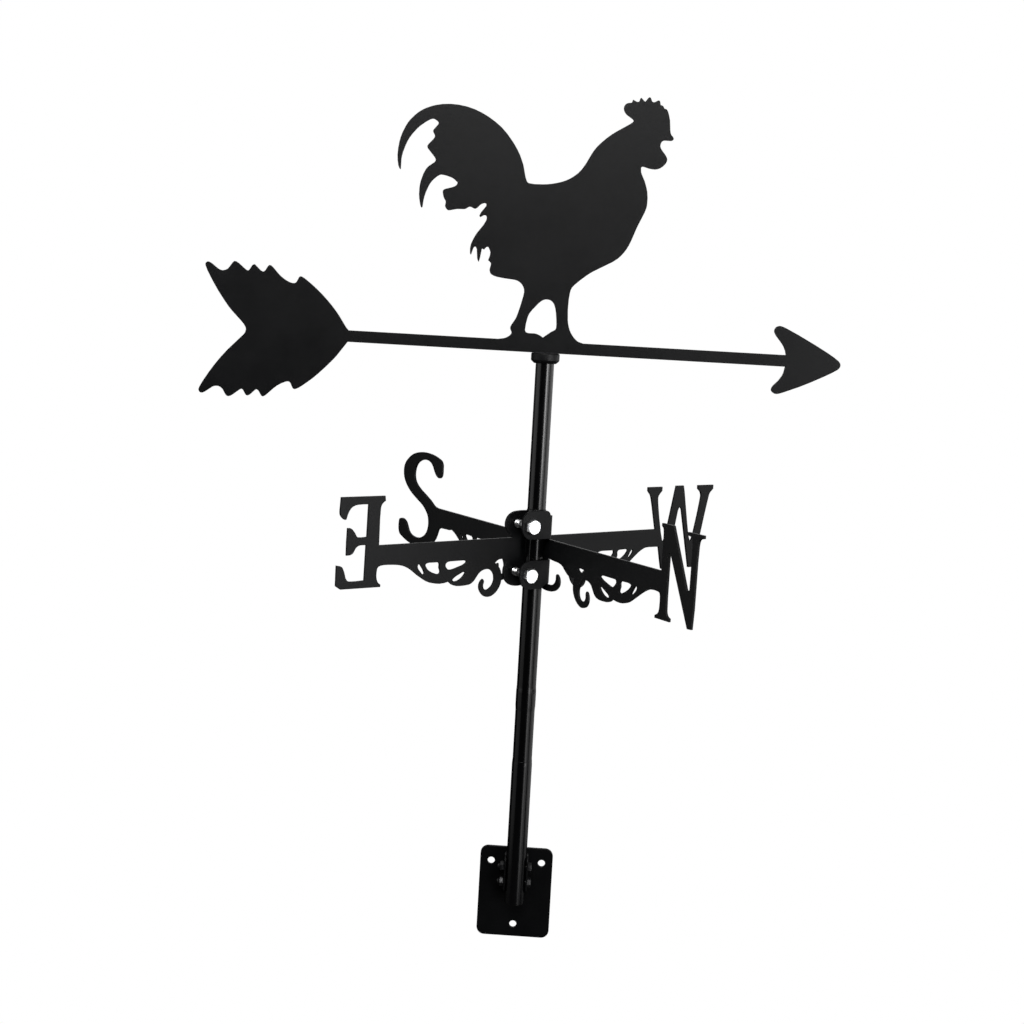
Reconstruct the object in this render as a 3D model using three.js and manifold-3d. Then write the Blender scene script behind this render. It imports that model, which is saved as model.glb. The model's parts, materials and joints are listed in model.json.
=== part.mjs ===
// Rooster weather vane on a wall bracket.
// Frame: millimetres, +Z up.  The origin is the centre of the base plate's back face, the face
// that lies on the wall.  +Y points into the wall, -Y away from it, +X along the arrow at rest.
// The pole stands upright in front of the plate.

import * as THREE from 'three';
import { mergeVertices } from 'three/addons/utils/BufferGeometryUtils.js';
import Module from 'manifold-3d';

const wasm = await Module();
wasm.setup();

// ---------------------------------------------------------------- shared dimensions (mm)
const GAP = 0.05;              // keeps touching pieces apart
const SHEET = 2.5;             // thickness of the vane and compass sheet
const POLE_Y = -15;            // the pole's axis stands this far in front of the wall
const HEX_CORNER = 2 / Math.sqrt(3);   // hexagon's corner radius over half its width across flats

// the pole's tubes, from the bottom up; each one starts where the one below ends
const LOWER = { radius: 19.2 / 2, bore: 16.4 / 2, bottom: -4.2, top: 134.6 };
const MIDDLE = { radius: 18.4 / 2, bore: 16 / 2, bottom: LOWER.top + GAP, top: 375.8 };
const UPPER = { radius: 17.4 / 2, bore: 15 / 2, bottom: MIDDLE.top + GAP, top: 518.2 };

// two M5 bolts hold the lower tube in its bracket
const BRACKET_BOLT = { heights: [29.9, 15.2], radius: 2.5, holeRadius: 2.7 };

// ---------------------------------------------------------------- finishes
const finish = (color, roughness, metalness) =>
  new THREE.MeshStandardMaterial({ color, roughness, metalness });
const satinBlack = () => finish(0x202124, 0.42, 0);
const glossBlack = () => finish(0x141416, 0.22, 0);
const zinc = () => finish(0xc9ccd0, 0.3, 1);
const steel = () => finish(0x9a9da1, 0.25, 1);
const nylon = () => finish(0xd9d6cc, 0.55, 0);

// ---------------------------------------------------------------- bodies
function signedVolume(geometry) {
  const { index } = geometry;
  const corner = i =>
    new THREE.Vector3().fromBufferAttribute(geometry.attributes.position, index.getX(i));
  let sum = 0;
  for (let i = 0; i < index.count; i += 3) {
    sum += corner(i).dot(corner(i + 1).cross(corner(i + 2))) / 6;
  }
  return sum;
}

// closed body with shared corners and its faces pointing out
function closed(geometry) {
  geometry.deleteAttribute('normal');
  geometry.deleteAttribute('uv');
  const merged = mergeVertices(geometry, 1e-4);
  const source = merged.index.array;
  const faces = [];
  for (let i = 0; i < source.length; i += 3) {
    const [p0, p1, p2] = source.slice(i, i + 3);
    // a profile that meets the axis leaves slivers there
    if (p0 !== p1 && p1 !== p2 && p2 !== p0) faces.push(p0, p1, p2);
  }
  merged.setIndex(faces);
  if (signedVolume(merged) < 0) {
    const order = merged.index.array;
    for (let i = 0; i < order.length; i += 3) {
      [order[i], order[i + 1]] = [order[i + 1], order[i]];
    }
  }
  return merged;
}

function solid(geometry) {
  const body = closed(geometry);
  return new wasm.Manifold(new wasm.Mesh({
    numProp: 3,
    vertProperties: new Float32Array(body.attributes.position.array),
    triVerts: new Uint32Array(body.index.array),
  }));
}

const joined = (...geometries) => geometries.map(solid).reduce((sum, part) => sum.add(part));
const drilled = (body, cutters) =>
  cutters.reduce((rest, cutter) => rest.subtract(solid(cutter)), body);

function surface(body) {
  const mesh = body.getMesh();
  const geometry = new THREE.BufferGeometry();
  const positions = Float32Array.from(mesh.vertProperties);
  geometry.setAttribute('position', new THREE.BufferAttribute(positions, 3));
  geometry.setIndex(new THREE.BufferAttribute(Uint32Array.from(mesh.triVerts), 1));
  return geometry;
}

// adds a three.js geometry or a manifold body as a named mesh
function addPiece(parent, name, shape, material) {
  const geometry = shape instanceof THREE.BufferGeometry ? closed(shape) : surface(shape);
  geometry.computeVertexNormals();
  const mesh = new THREE.Mesh(geometry, material);
  mesh.name = name;
  parent.add(mesh);
}

// ---------------------------------------------------------------- flat outlines
const OUTLINE_TOLERANCE = 0.13;  // curve samples closer than this to their chord are dropped
const SAMPLES_PER_SPAN = 12;

function thinned(samples) {
  const last = samples.length - 1;
  const keep = samples.map((_, i) => i === 0 || i === last);
  const spans = [[0, last]];
  while (spans.length) {
    const [from, to] = spans.pop();
    if (to <= from + 1) continue;
    const chord = samples[to].clone().sub(samples[from]);
    const length = chord.length() || 1e-9;
    let worst = 0;
    let worstAt = -1;
    for (let i = from + 1; i < to; i++) {
      const offset = samples[i].clone().sub(samples[from]);
      const distance = Math.abs(offset.x * chord.y - offset.y * chord.x) / length;
      if (distance > worst) {
        worst = distance;
        worstAt = i;
      }
    }
    if (worst > OUTLINE_TOLERANCE) {
      keep[worstAt] = true;
      spans.push([from, worstAt], [worstAt, to]);
    }
  }
  return samples.filter((_, i) => keep[i]);
}

// Smooth outline through points.  A third value of 1 marks a sharp corner.
// Between two neighbouring corners the edge is straight.
function outline(points) {
  const count = points.length;
  const samplesThrough = (run, isLoop) => {
    const knots = run.map(([x, y]) => new THREE.Vector3(x, y, 0));
    const spans = isLoop ? run.length : run.length - 1;
    return new THREE.CatmullRomCurve3(knots, isLoop, 'centripetal')
      .getPoints(spans * SAMPLES_PER_SPAN);
  };
  const path = [];
  const firstCorner = points.findIndex(point => point[2] === 1);
  if (firstCorner < 0) {
    const samples = samplesThrough(points, true);
    const half = Math.floor(samples.length / 2);
    path.push(...thinned(samples.slice(0, half + 1)).slice(0, -1));
    path.push(...thinned(samples.slice(half)).slice(0, -1));
  } else {
    // one run from each sharp corner to the next
    let run = [points[firstCorner]];
    for (let i = 1; i <= count; i++) {
      const point = points[(firstCorner + i) % count];
      run.push(point);
      if (point[2] !== 1) continue;
      if (run.length === 2) path.push({ x: run[0][0], y: run[0][1] });
      else path.push(...thinned(samplesThrough(run, false)).slice(0, -1));
      run = [point];
    }
  }
  return path.map(({ x, y }) => new THREE.Vector2(x, y));
}

// straight-edged outline with rounded corners: [x, y, radius], arcs in steps of at most stepDeg
function rounded(points, stepDeg) {
  const count = points.length;
  const at = i => new THREE.Vector2(points[i % count][0], points[i % count][1]);
  const path = [];
  points.forEach(([, , radius = 0], i) => {
    const corner = at(i);
    if (!radius) {
      path.push(corner);
      return;
    }
    const toPrevious = at(i + count - 1).sub(corner).normalize();
    const toNext = at(i + 1).sub(corner).normalize();
    const halfAngle = Math.acos(THREE.MathUtils.clamp(toPrevious.dot(toNext), -1, 1)) / 2;
    const tangent = radius / Math.tan(halfAngle);
    const bisector = toPrevious.clone().add(toNext).normalize();
    const centre = corner.clone().add(bisector.multiplyScalar(radius / Math.sin(halfAngle)));
    const angleTo = direction =>
      corner.clone().add(direction.multiplyScalar(tangent)).sub(centre).angle();
    const start = angleTo(toPrevious);
    let sweep = angleTo(toNext) - start;
    if (sweep > Math.PI) sweep -= 2 * Math.PI;
    if (sweep < -Math.PI) sweep += 2 * Math.PI;
    const steps = Math.max(2, Math.ceil(Math.abs(sweep) * 180 / Math.PI / stepDeg));
    for (let k = 0; k <= steps; k++) {
      const angle = start + sweep * k / steps;
      path.push(new THREE.Vector2(
        centre.x + radius * Math.cos(angle), centre.y + radius * Math.sin(angle)));
    }
  });
  return path;
}

const circle = (x, y, radius, segments) => Array.from({ length: segments }, (_, i) => {
  const angle = i / segments * 2 * Math.PI;
  return new THREE.Vector2(x + radius * Math.cos(angle), y + radius * Math.sin(angle));
});

// ---------------------------------------------------------------- sheets, turned parts and rods
function sheet(points, holes, thickness) {
  const wound = (path, clockwise) =>
    THREE.ShapeUtils.isClockWise(path) === clockwise ? path : [...path].reverse();
  const shape = new THREE.Shape(wound(points, false));
  for (const hole of holes) shape.holes.push(new THREE.Path(wound(hole, true)));
  return new THREE.ExtrudeGeometry(shape, {
    depth: thickness, bevelEnabled: false, curveSegments: 1, steps: 1,
  });
}

// a sheet drawn as (x, z), its faces at y and y + thickness
function sheetAcross(points, holes, y, thickness) {
  return sheet(points, holes, thickness).rotateX(Math.PI / 2).translate(0, y + thickness, 0);
}

// a sheet drawn as (-y, z), its faces at x and x + thickness
function sheetAlongY(points, holes, x, thickness) {
  const turn = new THREE.Matrix4().makeBasis(
    new THREE.Vector3(0, -1, 0), new THREE.Vector3(0, 0, 1), new THREE.Vector3(-1, 0, 0));
  return sheet(points, holes, thickness).applyMatrix4(turn).translate(x + thickness, 0, 0);
}

// turned part about the upright axis, from a (radius, z) profile that starts and ends on the axis
function turned(profile, segments) {
  const points = profile.map(([radius, z]) => new THREE.Vector2(radius, z));
  return new THREE.LatheGeometry(points, segments).rotateX(Math.PI / 2);
}

// the same for a profile clear of the axis, given without its closing point
const turnedRing = (profile, segments) => turned([...profile, profile[0]], segments);

const tube = ({ bore, radius, bottom, top }, segments) => turnedRing(
  [[bore, bottom], [radius, bottom], [radius, top], [bore, top]], segments);

const cylinder = (radius, length, segments) =>
  new THREE.CylinderGeometry(radius, radius, length, segments);
const rodX = (radius, x0, x1, y, z, segments) =>
  cylinder(radius, x1 - x0, segments).rotateZ(Math.PI / 2).translate((x0 + x1) / 2, y, z);
const rodY = (radius, y0, y1, x, z, segments) =>
  cylinder(radius, y1 - y0, segments).translate(x, (y0 + y1) / 2, z);

// rod square to the pole's axis between two radii; deg turns from the front (-Y) towards +X
const radialRod = (radius, inner, outer, { z, deg }, segments) =>
  cylinder(radius, outer - inner, segments)
    .translate(0, (inner + outer) / 2, 0)
    .rotateZ(Math.PI + deg * Math.PI / 180)
    .translate(0, 0, z);

// ---------------------------------------------------------------- groups
const model = new THREE.Group();

const pole = new THREE.Group();
pole.position.set(0, POLE_Y, 0);
model.add(pole);

// ---------------------------------------------------------------- vane
const BAR_Z0 = 523.8, BAR_Z1 = 534.8;    // the arrow's shaft

// Outline of the vane, rows of [x, z, 1 at a sharp corner], from the tip of the arrow over the
// top to the fletching and back underneath
const HEAD_TOP = [
  [276.8, 527], [276.8, 528.9], [275.7, 531], [270, 535.4], [241.5, 551.4], [221.3, 561.1],
  [218.3, 561.8], [216.3, 561.4], [214.4, 560.1], [213.3, 558], [213.2, 556.1], [214.8, 552.9],
  [222.2, 543.5], [224.6, 538.4], [225.3, BAR_Z1, 1],
];
const BREAST_HEAD_BACK = [
  [35, BAR_Z1, 1], [30, 536.3], [25.8, 539.9], [22.4, 544.8], [20.5, 549.6], [19.3, 555.4],
  [18.7, 567], [19.3, 578.6], [20.7, 585.6], [22.7, 588.5], [29.7, 595], [38.2, 601.6],
  [61.3, 615.1], [67.9, 621.9], [72.6, 629.7], [78.8, 646.1], [84.2, 658.1], [86.6, 664.9],
  [87.2, 669.6], [86.7, 679.2], [83.5, 689.8], [79.7, 698.1], [79.5, 702.4], [80.1, 703.2, 1],
  [81.2, 703.4], [87.8, 701.7], [93, 701.4], [96.4, 702.3], [99.7, 704.5], [102.7, 708.2],
  [103.3, 711.3], [101.9, 714.5], [96.8, 721.1], [96.1, 723.8], [96.5, 725.7], [97.4, 727.5],
  [99, 728.6], [106.5, 728.8], [108.1, 730.1], [107.7, 732], [106.1, 733.6], [104.9, 736.1],
  [103.5, 748.4], [100.3, 757.3], [97.7, 758.4], [96.5, 760.6], [94.1, 761.4, 1], [93.4, 764.6],
  [92.7, 765.4, 1], [91.7, 765.5], [88.6, 763.8], [87.1, 763.6], [86.1, 764.1], [84.6, 767.4],
  [83.5, 768.2, 1], [82.4, 767.5], [79.8, 763.8, 1], [78.8, 764.1, 1], [75.9, 767.1, 1],
  [74.8, 766.4], [74, 763.8], [73.2, 763.1, 1], [72.1, 763.1], [68.1, 765, 1], [67.1, 762.1, 1],
  [63.7, 761.6], [61.6, 760.5], [60.3, 758.5], [60, 756.2], [60.5, 754.3], [62.2, 751.6],
  [69.3, 746.5], [69.8, 745.6, 1], [69.5, 744.6], [66.8, 742.3], [50.3, 731.8], [39.3, 722],
  [34.1, 715.4], [26.5, 701.4], [21.5, 694.7], [13.9, 688.8], [6.7, 685.4], [-5.3, 682.5],
  [-14.1, 681.8], [-22, 681.9], [-26.1, 683.2],
];
const TAIL_BELLY_LEG = [
  [-31.3, 700.3], [-36.1, 711.2], [-44.1, 723.1], [-50.1, 730], [-55.6, 735.1],
  [-68.2, 743.5], [-81.4, 749.2], [-93.5, 751.8], [-106.6, 752.1], [-117.6, 750.1],
  [-127.2, 746.2], [-132.8, 742.4], [-137.1, 738.3], [-141.4, 733], [-146.7, 721.8],
  [-148.8, 713.3], [-149.7, 701.4], [-148.4, 692.3], [-147.1, 689.5, 1], [-146.3, 689, 1],
  [-146, 689.4, 1], [-145.8, 699.7], [-144.3, 706.7], [-140.3, 717.1], [-135.5, 724.4],
  [-128.6, 731.6], [-119.2, 737.6], [-116.6, 737.5], [-112.8, 734.7], [-112.7, 733],
  [-117.4, 726.7], [-117.2, 725.2], [-115.6, 722.5], [-115.7, 720.2], [-122, 712.1],
  [-121.5, 709.9], [-114.5, 701.7], [-113.5, 699.3], [-114.2, 697.5], [-119.6, 693.4],
  [-121.7, 691.1], [-124, 686.9], [-125.7, 682], [-127, 676.6], [-127.6, 669], [-127.2, 663.4],
  [-125.4, 655.3], [-124.6, 654.1, 1], [-123.7, 654.6, 1], [-122.9, 662.1], [-121.5, 667.9],
  [-117.3, 677.8], [-112.6, 683.1], [-109.7, 685.3], [-107.4, 686], [-96.7, 683.3],
  [-91.8, 679.4, 1], [-92.2, 677.6], [-94.5, 675.5], [-103.6, 672.5], [-105.2, 670.9],
  [-104.1, 664.7], [-102, 661], [-102.3, 656.3], [-99.9, 653.2], [-98.1, 653], [-91.1, 654.6],
  [-83.5, 655], [-79.1, 657.4], [-73.6, 655.8], [-68.4, 660.4], [-65.4, 661.5], [-63.7, 661, 1],
  [-63.6, 658.9], [-68.3, 652.5], [-69.7, 649.3, 1], [-68.7, 648.1, 1], [-65.4, 650.1],
  [-63.6, 650.1, 1], [-62.6, 648.6], [-62.8, 645.9], [-65.1, 641.2], [-71.4, 632.5],
  [-74.5, 626.5], [-76.4, 620.8], [-76.5, 614.1], [-76, 612.7, 1], [-75.4, 612.7, 1],
  [-73.3, 619.4], [-72.2, 620.3, 1], [-71.2, 620, 1], [-70.4, 618.3], [-69.3, 608.8],
  [-67.9, 606, 1], [-67.1, 608.6], [-65.6, 618.3, 1], [-64.8, 618.7, 1], [-63.6, 617.8, 1],
  [-61.3, 620.5], [-59.6, 620.6, 1], [-57.5, 616.5], [-57.5, 613.3], [-59.1, 608.1, 1],
  [-56.3, 605.4], [-57.2, 598.8], [-55.9, 595.6], [-52.9, 593.8], [-45.4, 592.3],
  [-31.6, 590.8], [-28, 589.1], [-24.8, 585.5], [-23.6, 581.8], [-23.8, 577.8],
  [-28.6, 558.9], [-30.3, 554.4], [-34.5, 547.2], [-34.6, 544.9], [-33.2, 541.6],
  [-33.7, 539.8], [-38.1, 536.4], [-45.6, BAR_Z1, 1],
];
const FLETCHING = [
  [-187.5, BAR_Z1, 1], [-189.4, 536.7], [-198.6, 550.1], [-209.3, 562.5], [-222.8, 574.9],
  [-234.1, 583], [-235.6, 583.2], [-236.6, 582.7], [-239.6, 577.2], [-242.1, 576.4],
  [-247.1, 577.8], [-254.5, 582.5], [-264.7, 592.3], [-266.4, 591.7], [-269.1, 587.3],
  [-270.9, 585.8], [-273.4, 586.6], [-279.7, 592.3, 1], [-281.4, 591.7], [-284.6, 586.7],
  [-286.2, 586], [-295, 592.6], [-298.5, 594.3], [-300.4, 593.1], [-304.8, 586.9],
  [-307.1, 585.5], [-309.8, 584.9], [-313.6, 585.9], [-322.1, 591.9], [-324.7, 592.4],
  [-326.5, 590.5], [-325.9, 587.4], [-316.8, 571], [-309.2, 559.8], [-300.9, 549.1],
  [-287.5, 535.4], [-285.6, 532.4], [-285.1, 530.1], [-285.7, 527.4], [-287.3, 525.1],
  [-301.7, 510.2], [-312.6, 496.6], [-322.9, 480.9], [-327.2, 472.8], [-327.7, 470.5],
  [-326.4, 468.2], [-323.8, 467.8], [-313.9, 474.4], [-309.2, 475], [-307, 474.2],
  [-304.8, 472.4], [-300.9, 466.5], [-298.7, 465.8], [-295.2, 467.5], [-287.3, 473.4],
  [-285.5, 473.1], [-282.5, 468.4], [-280.9, 467.5], [-278.8, 468.4], [-273.3, 473.6],
  [-272.3, 473.9, 1], [-270.4, 472.8], [-267.4, 468.1], [-265.7, 467.5], [-253.2, 478.4],
  [-245.8, 482.4], [-243.1, 483.1], [-241.6, 482.9], [-240.4, 482], [-237.3, 476.5],
  [-234.7, 476.4], [-223.2, 484.4], [-216, 490.6], [-199, 508.5], [-187.9, BAR_Z0, 1],
];
const HEAD_BOTTOM = [
  [225.3, BAR_Z0, 1], [223.8, 516.9], [220.4, 511.1], [215, 505.2], [213.6, 502.4],
  [213.9, 500.4], [215.2, 498.9], [218.4, 497.7], [232, 502.3], [249.1, 509.9], [272.4, 522.2],
  [275.5, 524.6],
];
const BETWEEN_LEGS = [
  [1, 574], [3.1, 572.9], [5, 570.8], [6.9, 565.6], [8.2, 556.9], [8.6, 549.4], [8, 546.6],
  [3.6, 543.8], [-1.2, 540], [-3.4, 538.4, 1], [-6.2, 540.2], [-10.3, 541.7], [-17.1, 541.8],
  [-19.4, 542.4], [-20.4, 544], [-20.5, 546.4], [-17.8, 559.3], [-11, 568.2], [-7.2, 572.2],
  [-3.3, 574.2],
];

// the arrow, its fletching and the rooster are one plate, cut from sheet
function addVanePlate() {
  const edge = [
    ...HEAD_TOP, ...BREAST_HEAD_BACK, ...TAIL_BELLY_LEG, ...FLETCHING, ...HEAD_BOTTOM];
  const plate = sheetAcross(outline(edge), [outline(BETWEEN_LEGS)], -SHEET / 2, SHEET);
  addPiece(pole, 'vane_plate', plate, satinBlack());
}

// ---------------------------------------------------------------- vane bearing
const CUP = { radius: 27 / 2, bore: 18.6 / 2, bottom: 514, ceiling: 520.7, top: BAR_Z0 - 0.1 };
const SPINDLE = { radius: 8 / 2, bottom: 455.8, top: 522.2 };
const BUSH = {
  bore: SPINDLE.radius + 0.1, radius: UPPER.bore - GAP,
  lowerZ0: 460.8, lowerZ1: 474.8, upperZ0: 502.8,
  flangeRadius: UPPER.radius - 0.1, flangeZ0: UPPER.top + GAP, flangeZ1: UPPER.top + 1.4,
};
const BALL_R = 3.5;
const PLUG = {
  radius: UPPER.bore - GAP, bottom: 434.8, top: 450.8,
  dishRadius: 4.6, dishFloorRadius: 1.2, dishFloor: 448,
};
const PIN = { radius: 1.5, z: 440.8, holeRadius: 1.6, segments: 16 };
const pinHole = reach => rodX(PIN.holeRadius, -reach, reach, 0, PIN.z, PIN.segments);

// socket under the shaft: a cup that keeps rain off the tube's mouth and carries the spindle
function addSocket() {
  const { radius, bore, bottom, ceiling, top } = CUP;
  const spindleHole = SPINDLE.radius + GAP;
  addPiece(pole, 'vane_socket', turnedRing([
    [spindleHole, ceiling], [bore, ceiling], [bore, bottom], [bore + 1.1, bottom],
    [radius - 0.5, bottom + 2.3], [radius, bottom + 3.2],
    [radius, top - 0.8], [radius - 0.8, top], [spindleHole, top],
  ], 40), satinBlack());
}

function addSpindle() {
  const { radius, bottom, top } = SPINDLE;
  const bottomChamfer = 0.8, topChamfer = 0.6;
  addPiece(pole, 'vane_spindle', turned([
    [0, bottom], [radius - bottomChamfer, bottom], [radius, bottom + bottomChamfer],
    [radius, top - topChamfer], [radius - topChamfer, top], [0, top],
  ], 28), steel());
}

// two bushes in the upper tube guide the spindle; the upper one has a flange on the tube's rim
function addBushes() {
  const { bore, radius, flangeRadius, flangeZ0, flangeZ1 } = BUSH;
  addPiece(pole, 'upper_bush', turnedRing([
    [bore, BUSH.upperZ0], [radius, BUSH.upperZ0], [radius, flangeZ0],
    [flangeRadius, flangeZ0], [flangeRadius, flangeZ1], [bore, flangeZ1],
  ], 32), nylon());
  const lower = tube({ bore, radius, bottom: BUSH.lowerZ0, top: BUSH.lowerZ1 }, 32);
  addPiece(pole, 'lower_bush', lower, nylon());
}

// the ball and the dished, cross-pinned plug carry the vane's weight
function addThrustBearing() {
  const ball = new THREE.SphereGeometry(BALL_R, 16, 10)
    .rotateX(Math.PI / 2)
    .translate(0, 0, SPINDLE.bottom - BALL_R - GAP);
  addPiece(pole, 'thrust_ball', ball, steel());

  const plug = turned([
    [0, PLUG.bottom], [PLUG.radius, PLUG.bottom], [PLUG.radius, PLUG.top],
    [PLUG.dishRadius, PLUG.top], [PLUG.dishFloorRadius, PLUG.dishFloor], [0, PLUG.dishFloor],
  ], 32);
  addPiece(pole, 'thrust_plug', drilled(solid(plug), [pinHole(10)]), nylon());

  const reach = UPPER.radius - 0.1;
  addPiece(pole, 'plug_pin', rodX(PIN.radius, -reach, reach, 0, PIN.z, PIN.segments), steel());
}

// ---------------------------------------------------------------- pole
const SPIGOT = { radius: 15.7 / 2, bore: UPPER.bore - 0.85, length: 42 };  // upper tube's lower end
const SLEEVE = { radius: 15.7 / 2, bore: 12.5 / 2, bottom: 92, top: 213 };
const SWELL = 0.33;            // the middle tube is this much larger in radius round its swelling
const JOINT_SCREWS = [
  { name: 'joint_screw_upper', z: 202.5, deg: 45, tubeRadius: MIDDLE.radius },
  { name: 'joint_screw_lower', z: 117.4, deg: 180, tubeRadius: LOWER.radius },
];
const JOINT_SCREW = {
  radius: 2.5, length: 3.6, inset: 0.1, holeRadius: 2.65, keyHalfWidth: 1.25, keyDepth: 1.2,
};

const jointHoles = () =>
  JOINT_SCREWS.map(screw => radialRod(JOINT_SCREW.holeRadius, 0, 12, screw, 16));

function addUpperTube() {
  const { radius, bore, bottom, top } = UPPER;
  const spigotEnd = MIDDLE.top - SPIGOT.length;
  const body = turnedRing([
    [SPIGOT.bore, spigotEnd], [SPIGOT.radius, spigotEnd], [SPIGOT.radius, bottom],
    [radius, bottom], [radius, top], [bore, top],
    [bore, MIDDLE.top + 3], [SPIGOT.bore, MIDDLE.top + 1.2],
  ], 40);
  addPiece(pole, 'upper_tube', drilled(solid(body), [pinHole(12)]), glossBlack());
}

function addMiddleTube() {
  const { radius, bore, bottom, top } = MIDDLE;
  const body = turnedRing([
    [bore, bottom], [radius, bottom],
    [radius, 182], [radius + SWELL, 186.5], [radius + SWELL, 202], [radius, 206.5],
    [radius, top], [bore, top],
  ], 40);
  addPiece(pole, 'middle_tube', drilled(solid(body), jointHoles()), glossBlack());
}

function addLowerTube() {
  const boltHoles = BRACKET_BOLT.heights.map(z =>
    rodX(BRACKET_BOLT.holeRadius, -12, 12, 0, z, 20));
  const body = drilled(solid(tube(LOWER, 40)), [...boltHoles, ...jointHoles()]);
  addPiece(pole, 'lower_tube', body, glossBlack());
}

// sleeve inside the joint of the lower and middle tubes, with a screw for each tube
function addJoint() {
  addPiece(pole, 'joint_sleeve', drilled(solid(tube(SLEEVE, 40)), jointHoles()), steel());
  const { radius, length, inset, keyHalfWidth, keyDepth } = JOINT_SCREW;
  for (const screw of JOINT_SCREWS) {
    const face = screw.tubeRadius - inset;
    const body = solid(radialRod(radius, face - length, face, screw, 16));
    const hexKey = radialRod(
      keyHalfWidth * HEX_CORNER, face - keyDepth, face + keyDepth, screw, 6);
    addPiece(pole, screw.name, drilled(body, [hexKey]), satinBlack());
  }
}

// ---------------------------------------------------------------- compass
const BAND_TOP = 347.6;        // top edge of the compass arms
const BAND_H = 18.2;
const HALF_BAND = BAND_H / 2;
const COMPASS_TURN = 36.6;     // degrees from +X to the W arm
const CLAMP = 9.65;            // from the pole's axis to the inside faces of the clamp
const FOLD_R = 1.5;            // inside radius of the folded clamp tabs
const FOLD_START = CLAMP - FOLD_R;       // where web and tabs end and the folds begin
const TAB_TIP = -23.6;
const UPPER_FOLD = [1, 23], LOWER_FOLD = [-41.6, -BAND_H - 1];     // their heights
const WEB_BACK = -3;           // rear edge of the N-S plate's web beside the pole
const CROSS_NEAR = CLAMP - 0.3, CROSS_FAR = CLAMP + SHEET + 0.3;   // slots where the plates cross
const CROSS_GAP = 0.15;        // each slot goes this far past the band's middle
const CLAMP_BOLT = {
  x: -13.6,                    // the bolts pass the pole on its E side
  radius: 4, holeRadius: 4.4, headHeight: 5.3, hexHalfWidth: 6.5, beyond: 12.5,
  washerRadius: 8, washerBore: 4.25, washerThickness: 1.5, nutBore: 4.12, nutHeight: 6.5,
};
const UPPER_BOLT_Z = 13.5, LOWER_BOLT_Z = -32.5;

// +X is W, -Y is N, z is measured from the arms' top edge
const compass = new THREE.Group();
compass.position.set(0, POLE_Y, BAND_TOP);
compass.rotation.z = COMPASS_TURN * Math.PI / 180;
model.add(compass);

// Compass outlines, rows of [x, y, 1 at a sharp corner].  x is the distance outward from the
// pole's axis along the arm, y the height above the arms' top edge.
// E: from the band's top edge round the letter to the band's bottom edge
const E_LETTER = [
  [163.4, 0, 1], [163.6, 30.3], [162.9, 35.4], [160.6, 38.4], [158.8, 39.4, 1], [159.4, 43.9, 1],
  [203, 43.9, 1], [203.4, 29.4], [202.4, 27], [198.9, 24], [197.2, 24.2, 1], [195.6, 29.6],
  [192.7, 34.2], [188.8, 36.3], [183, 36.9], [175.7, 36.9, 1], [175.9, 8, 1], [181.2, 7.7],
  [185.6, 8.4], [188.2, 12.4], [192, 16.2], [195.4, 16.6, 1], [195.6, 4], [195.4, -7.6, 1],
  [191.2, -7.2], [188.9, -5.6], [186.6, -1.5], [183.5, 0.6], [176.3, 0.8, 1], [176.6, -30.6, 1],
  [186, -30.9], [192.4, -30.3], [194.9, -27.8], [197.1, -21], [199.4, -17.2], [204.6, -15.8, 1],
  [204.4, -34, 1], [199.7, -37.1, 1], [160.2, -37.5, 1], [160, -35.4, 1], [162.6, -33.4],
  [164.3, -29.4], [164.5, -23.6], [163.6, -19.9], [160.6, -18.4],
];
// E arm: from the letter along the scrollwork to the pole
const E_SCROLL = [
  [146.3, -18.5], [140.7, -19.3], [135.4, -20.9], [129.8, -23.8], [122, -29.6], [114.4, -34.6],
  [110.2, -36.7], [104.6, -38.1], [98.8, -38.9], [93, -38.6], [88.6, -37.6, 1], [85.2, -40.4],
  [80.1, -42.2], [75, -42.5], [70.2, -42.4], [64.6, -41.6], [60.7, -39], [55.8, -32.6],
  [52.6, -30], [48.3, -28.6], [43.6, -29], [39.8, -31.6], [37.9, -35.4], [37.6, -39.7],
  [39.4, -44.2], [42.8, -47.4], [46.4, -48.2], [48.9, -46.6], [49.7, -43.6], [48.9, -39.6],
  [50.3, -37.6, 1], [52.6, -39.4], [54.2, -43.2], [53.8, -47.2], [51.4, -51.2], [47.9, -54.2],
  [44, -55], [39.9, -54.4], [35.3, -51.6], [32, -47.8], [29.6, -42.4], [29.2, -36.6],
  [30.6, -30.6], [33.6, -26.2], [37.4, -23, 1], [34.6, -20.7], [30.6, -19.8], [26.4, -20.4],
];
const E_SLOTS = [
  [[114.1, -20.1], [111.7, -18.9], [105, -18.9], [100.2, -19.3], [99.2, -21.2], [99.3, -24],
    [98.1, -27.3], [98.3, -29], [99.9, -29.9], [104, -28.9], [108.8, -26.8], [112.2, -24.2]],
  [[69.7, -20.4], [72.1, -22.6], [79, -24.9], [86.7, -26.7], [90.2, -25.8], [92.6, -22.1],
    [91.3, -19.7], [88.1, -18.9], [79, -18.8], [71.7, -19]],
  [[114.9, -29], [116.8, -28.9], [119.4, -26.2], [121.6, -23.6], [122.3, -21.2],
    [121.6, -19.6], [120.3, -19.8], [118.6, -21.6], [116, -25.4]],
  [[70.4, -30.2], [72.8, -29.6], [77.6, -31.6], [82.6, -34.4], [84.2, -36.2], [82.6, -37.7],
    [79.2, -37.7], [75, -35.8], [71.8, -32.8]],
];
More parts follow.
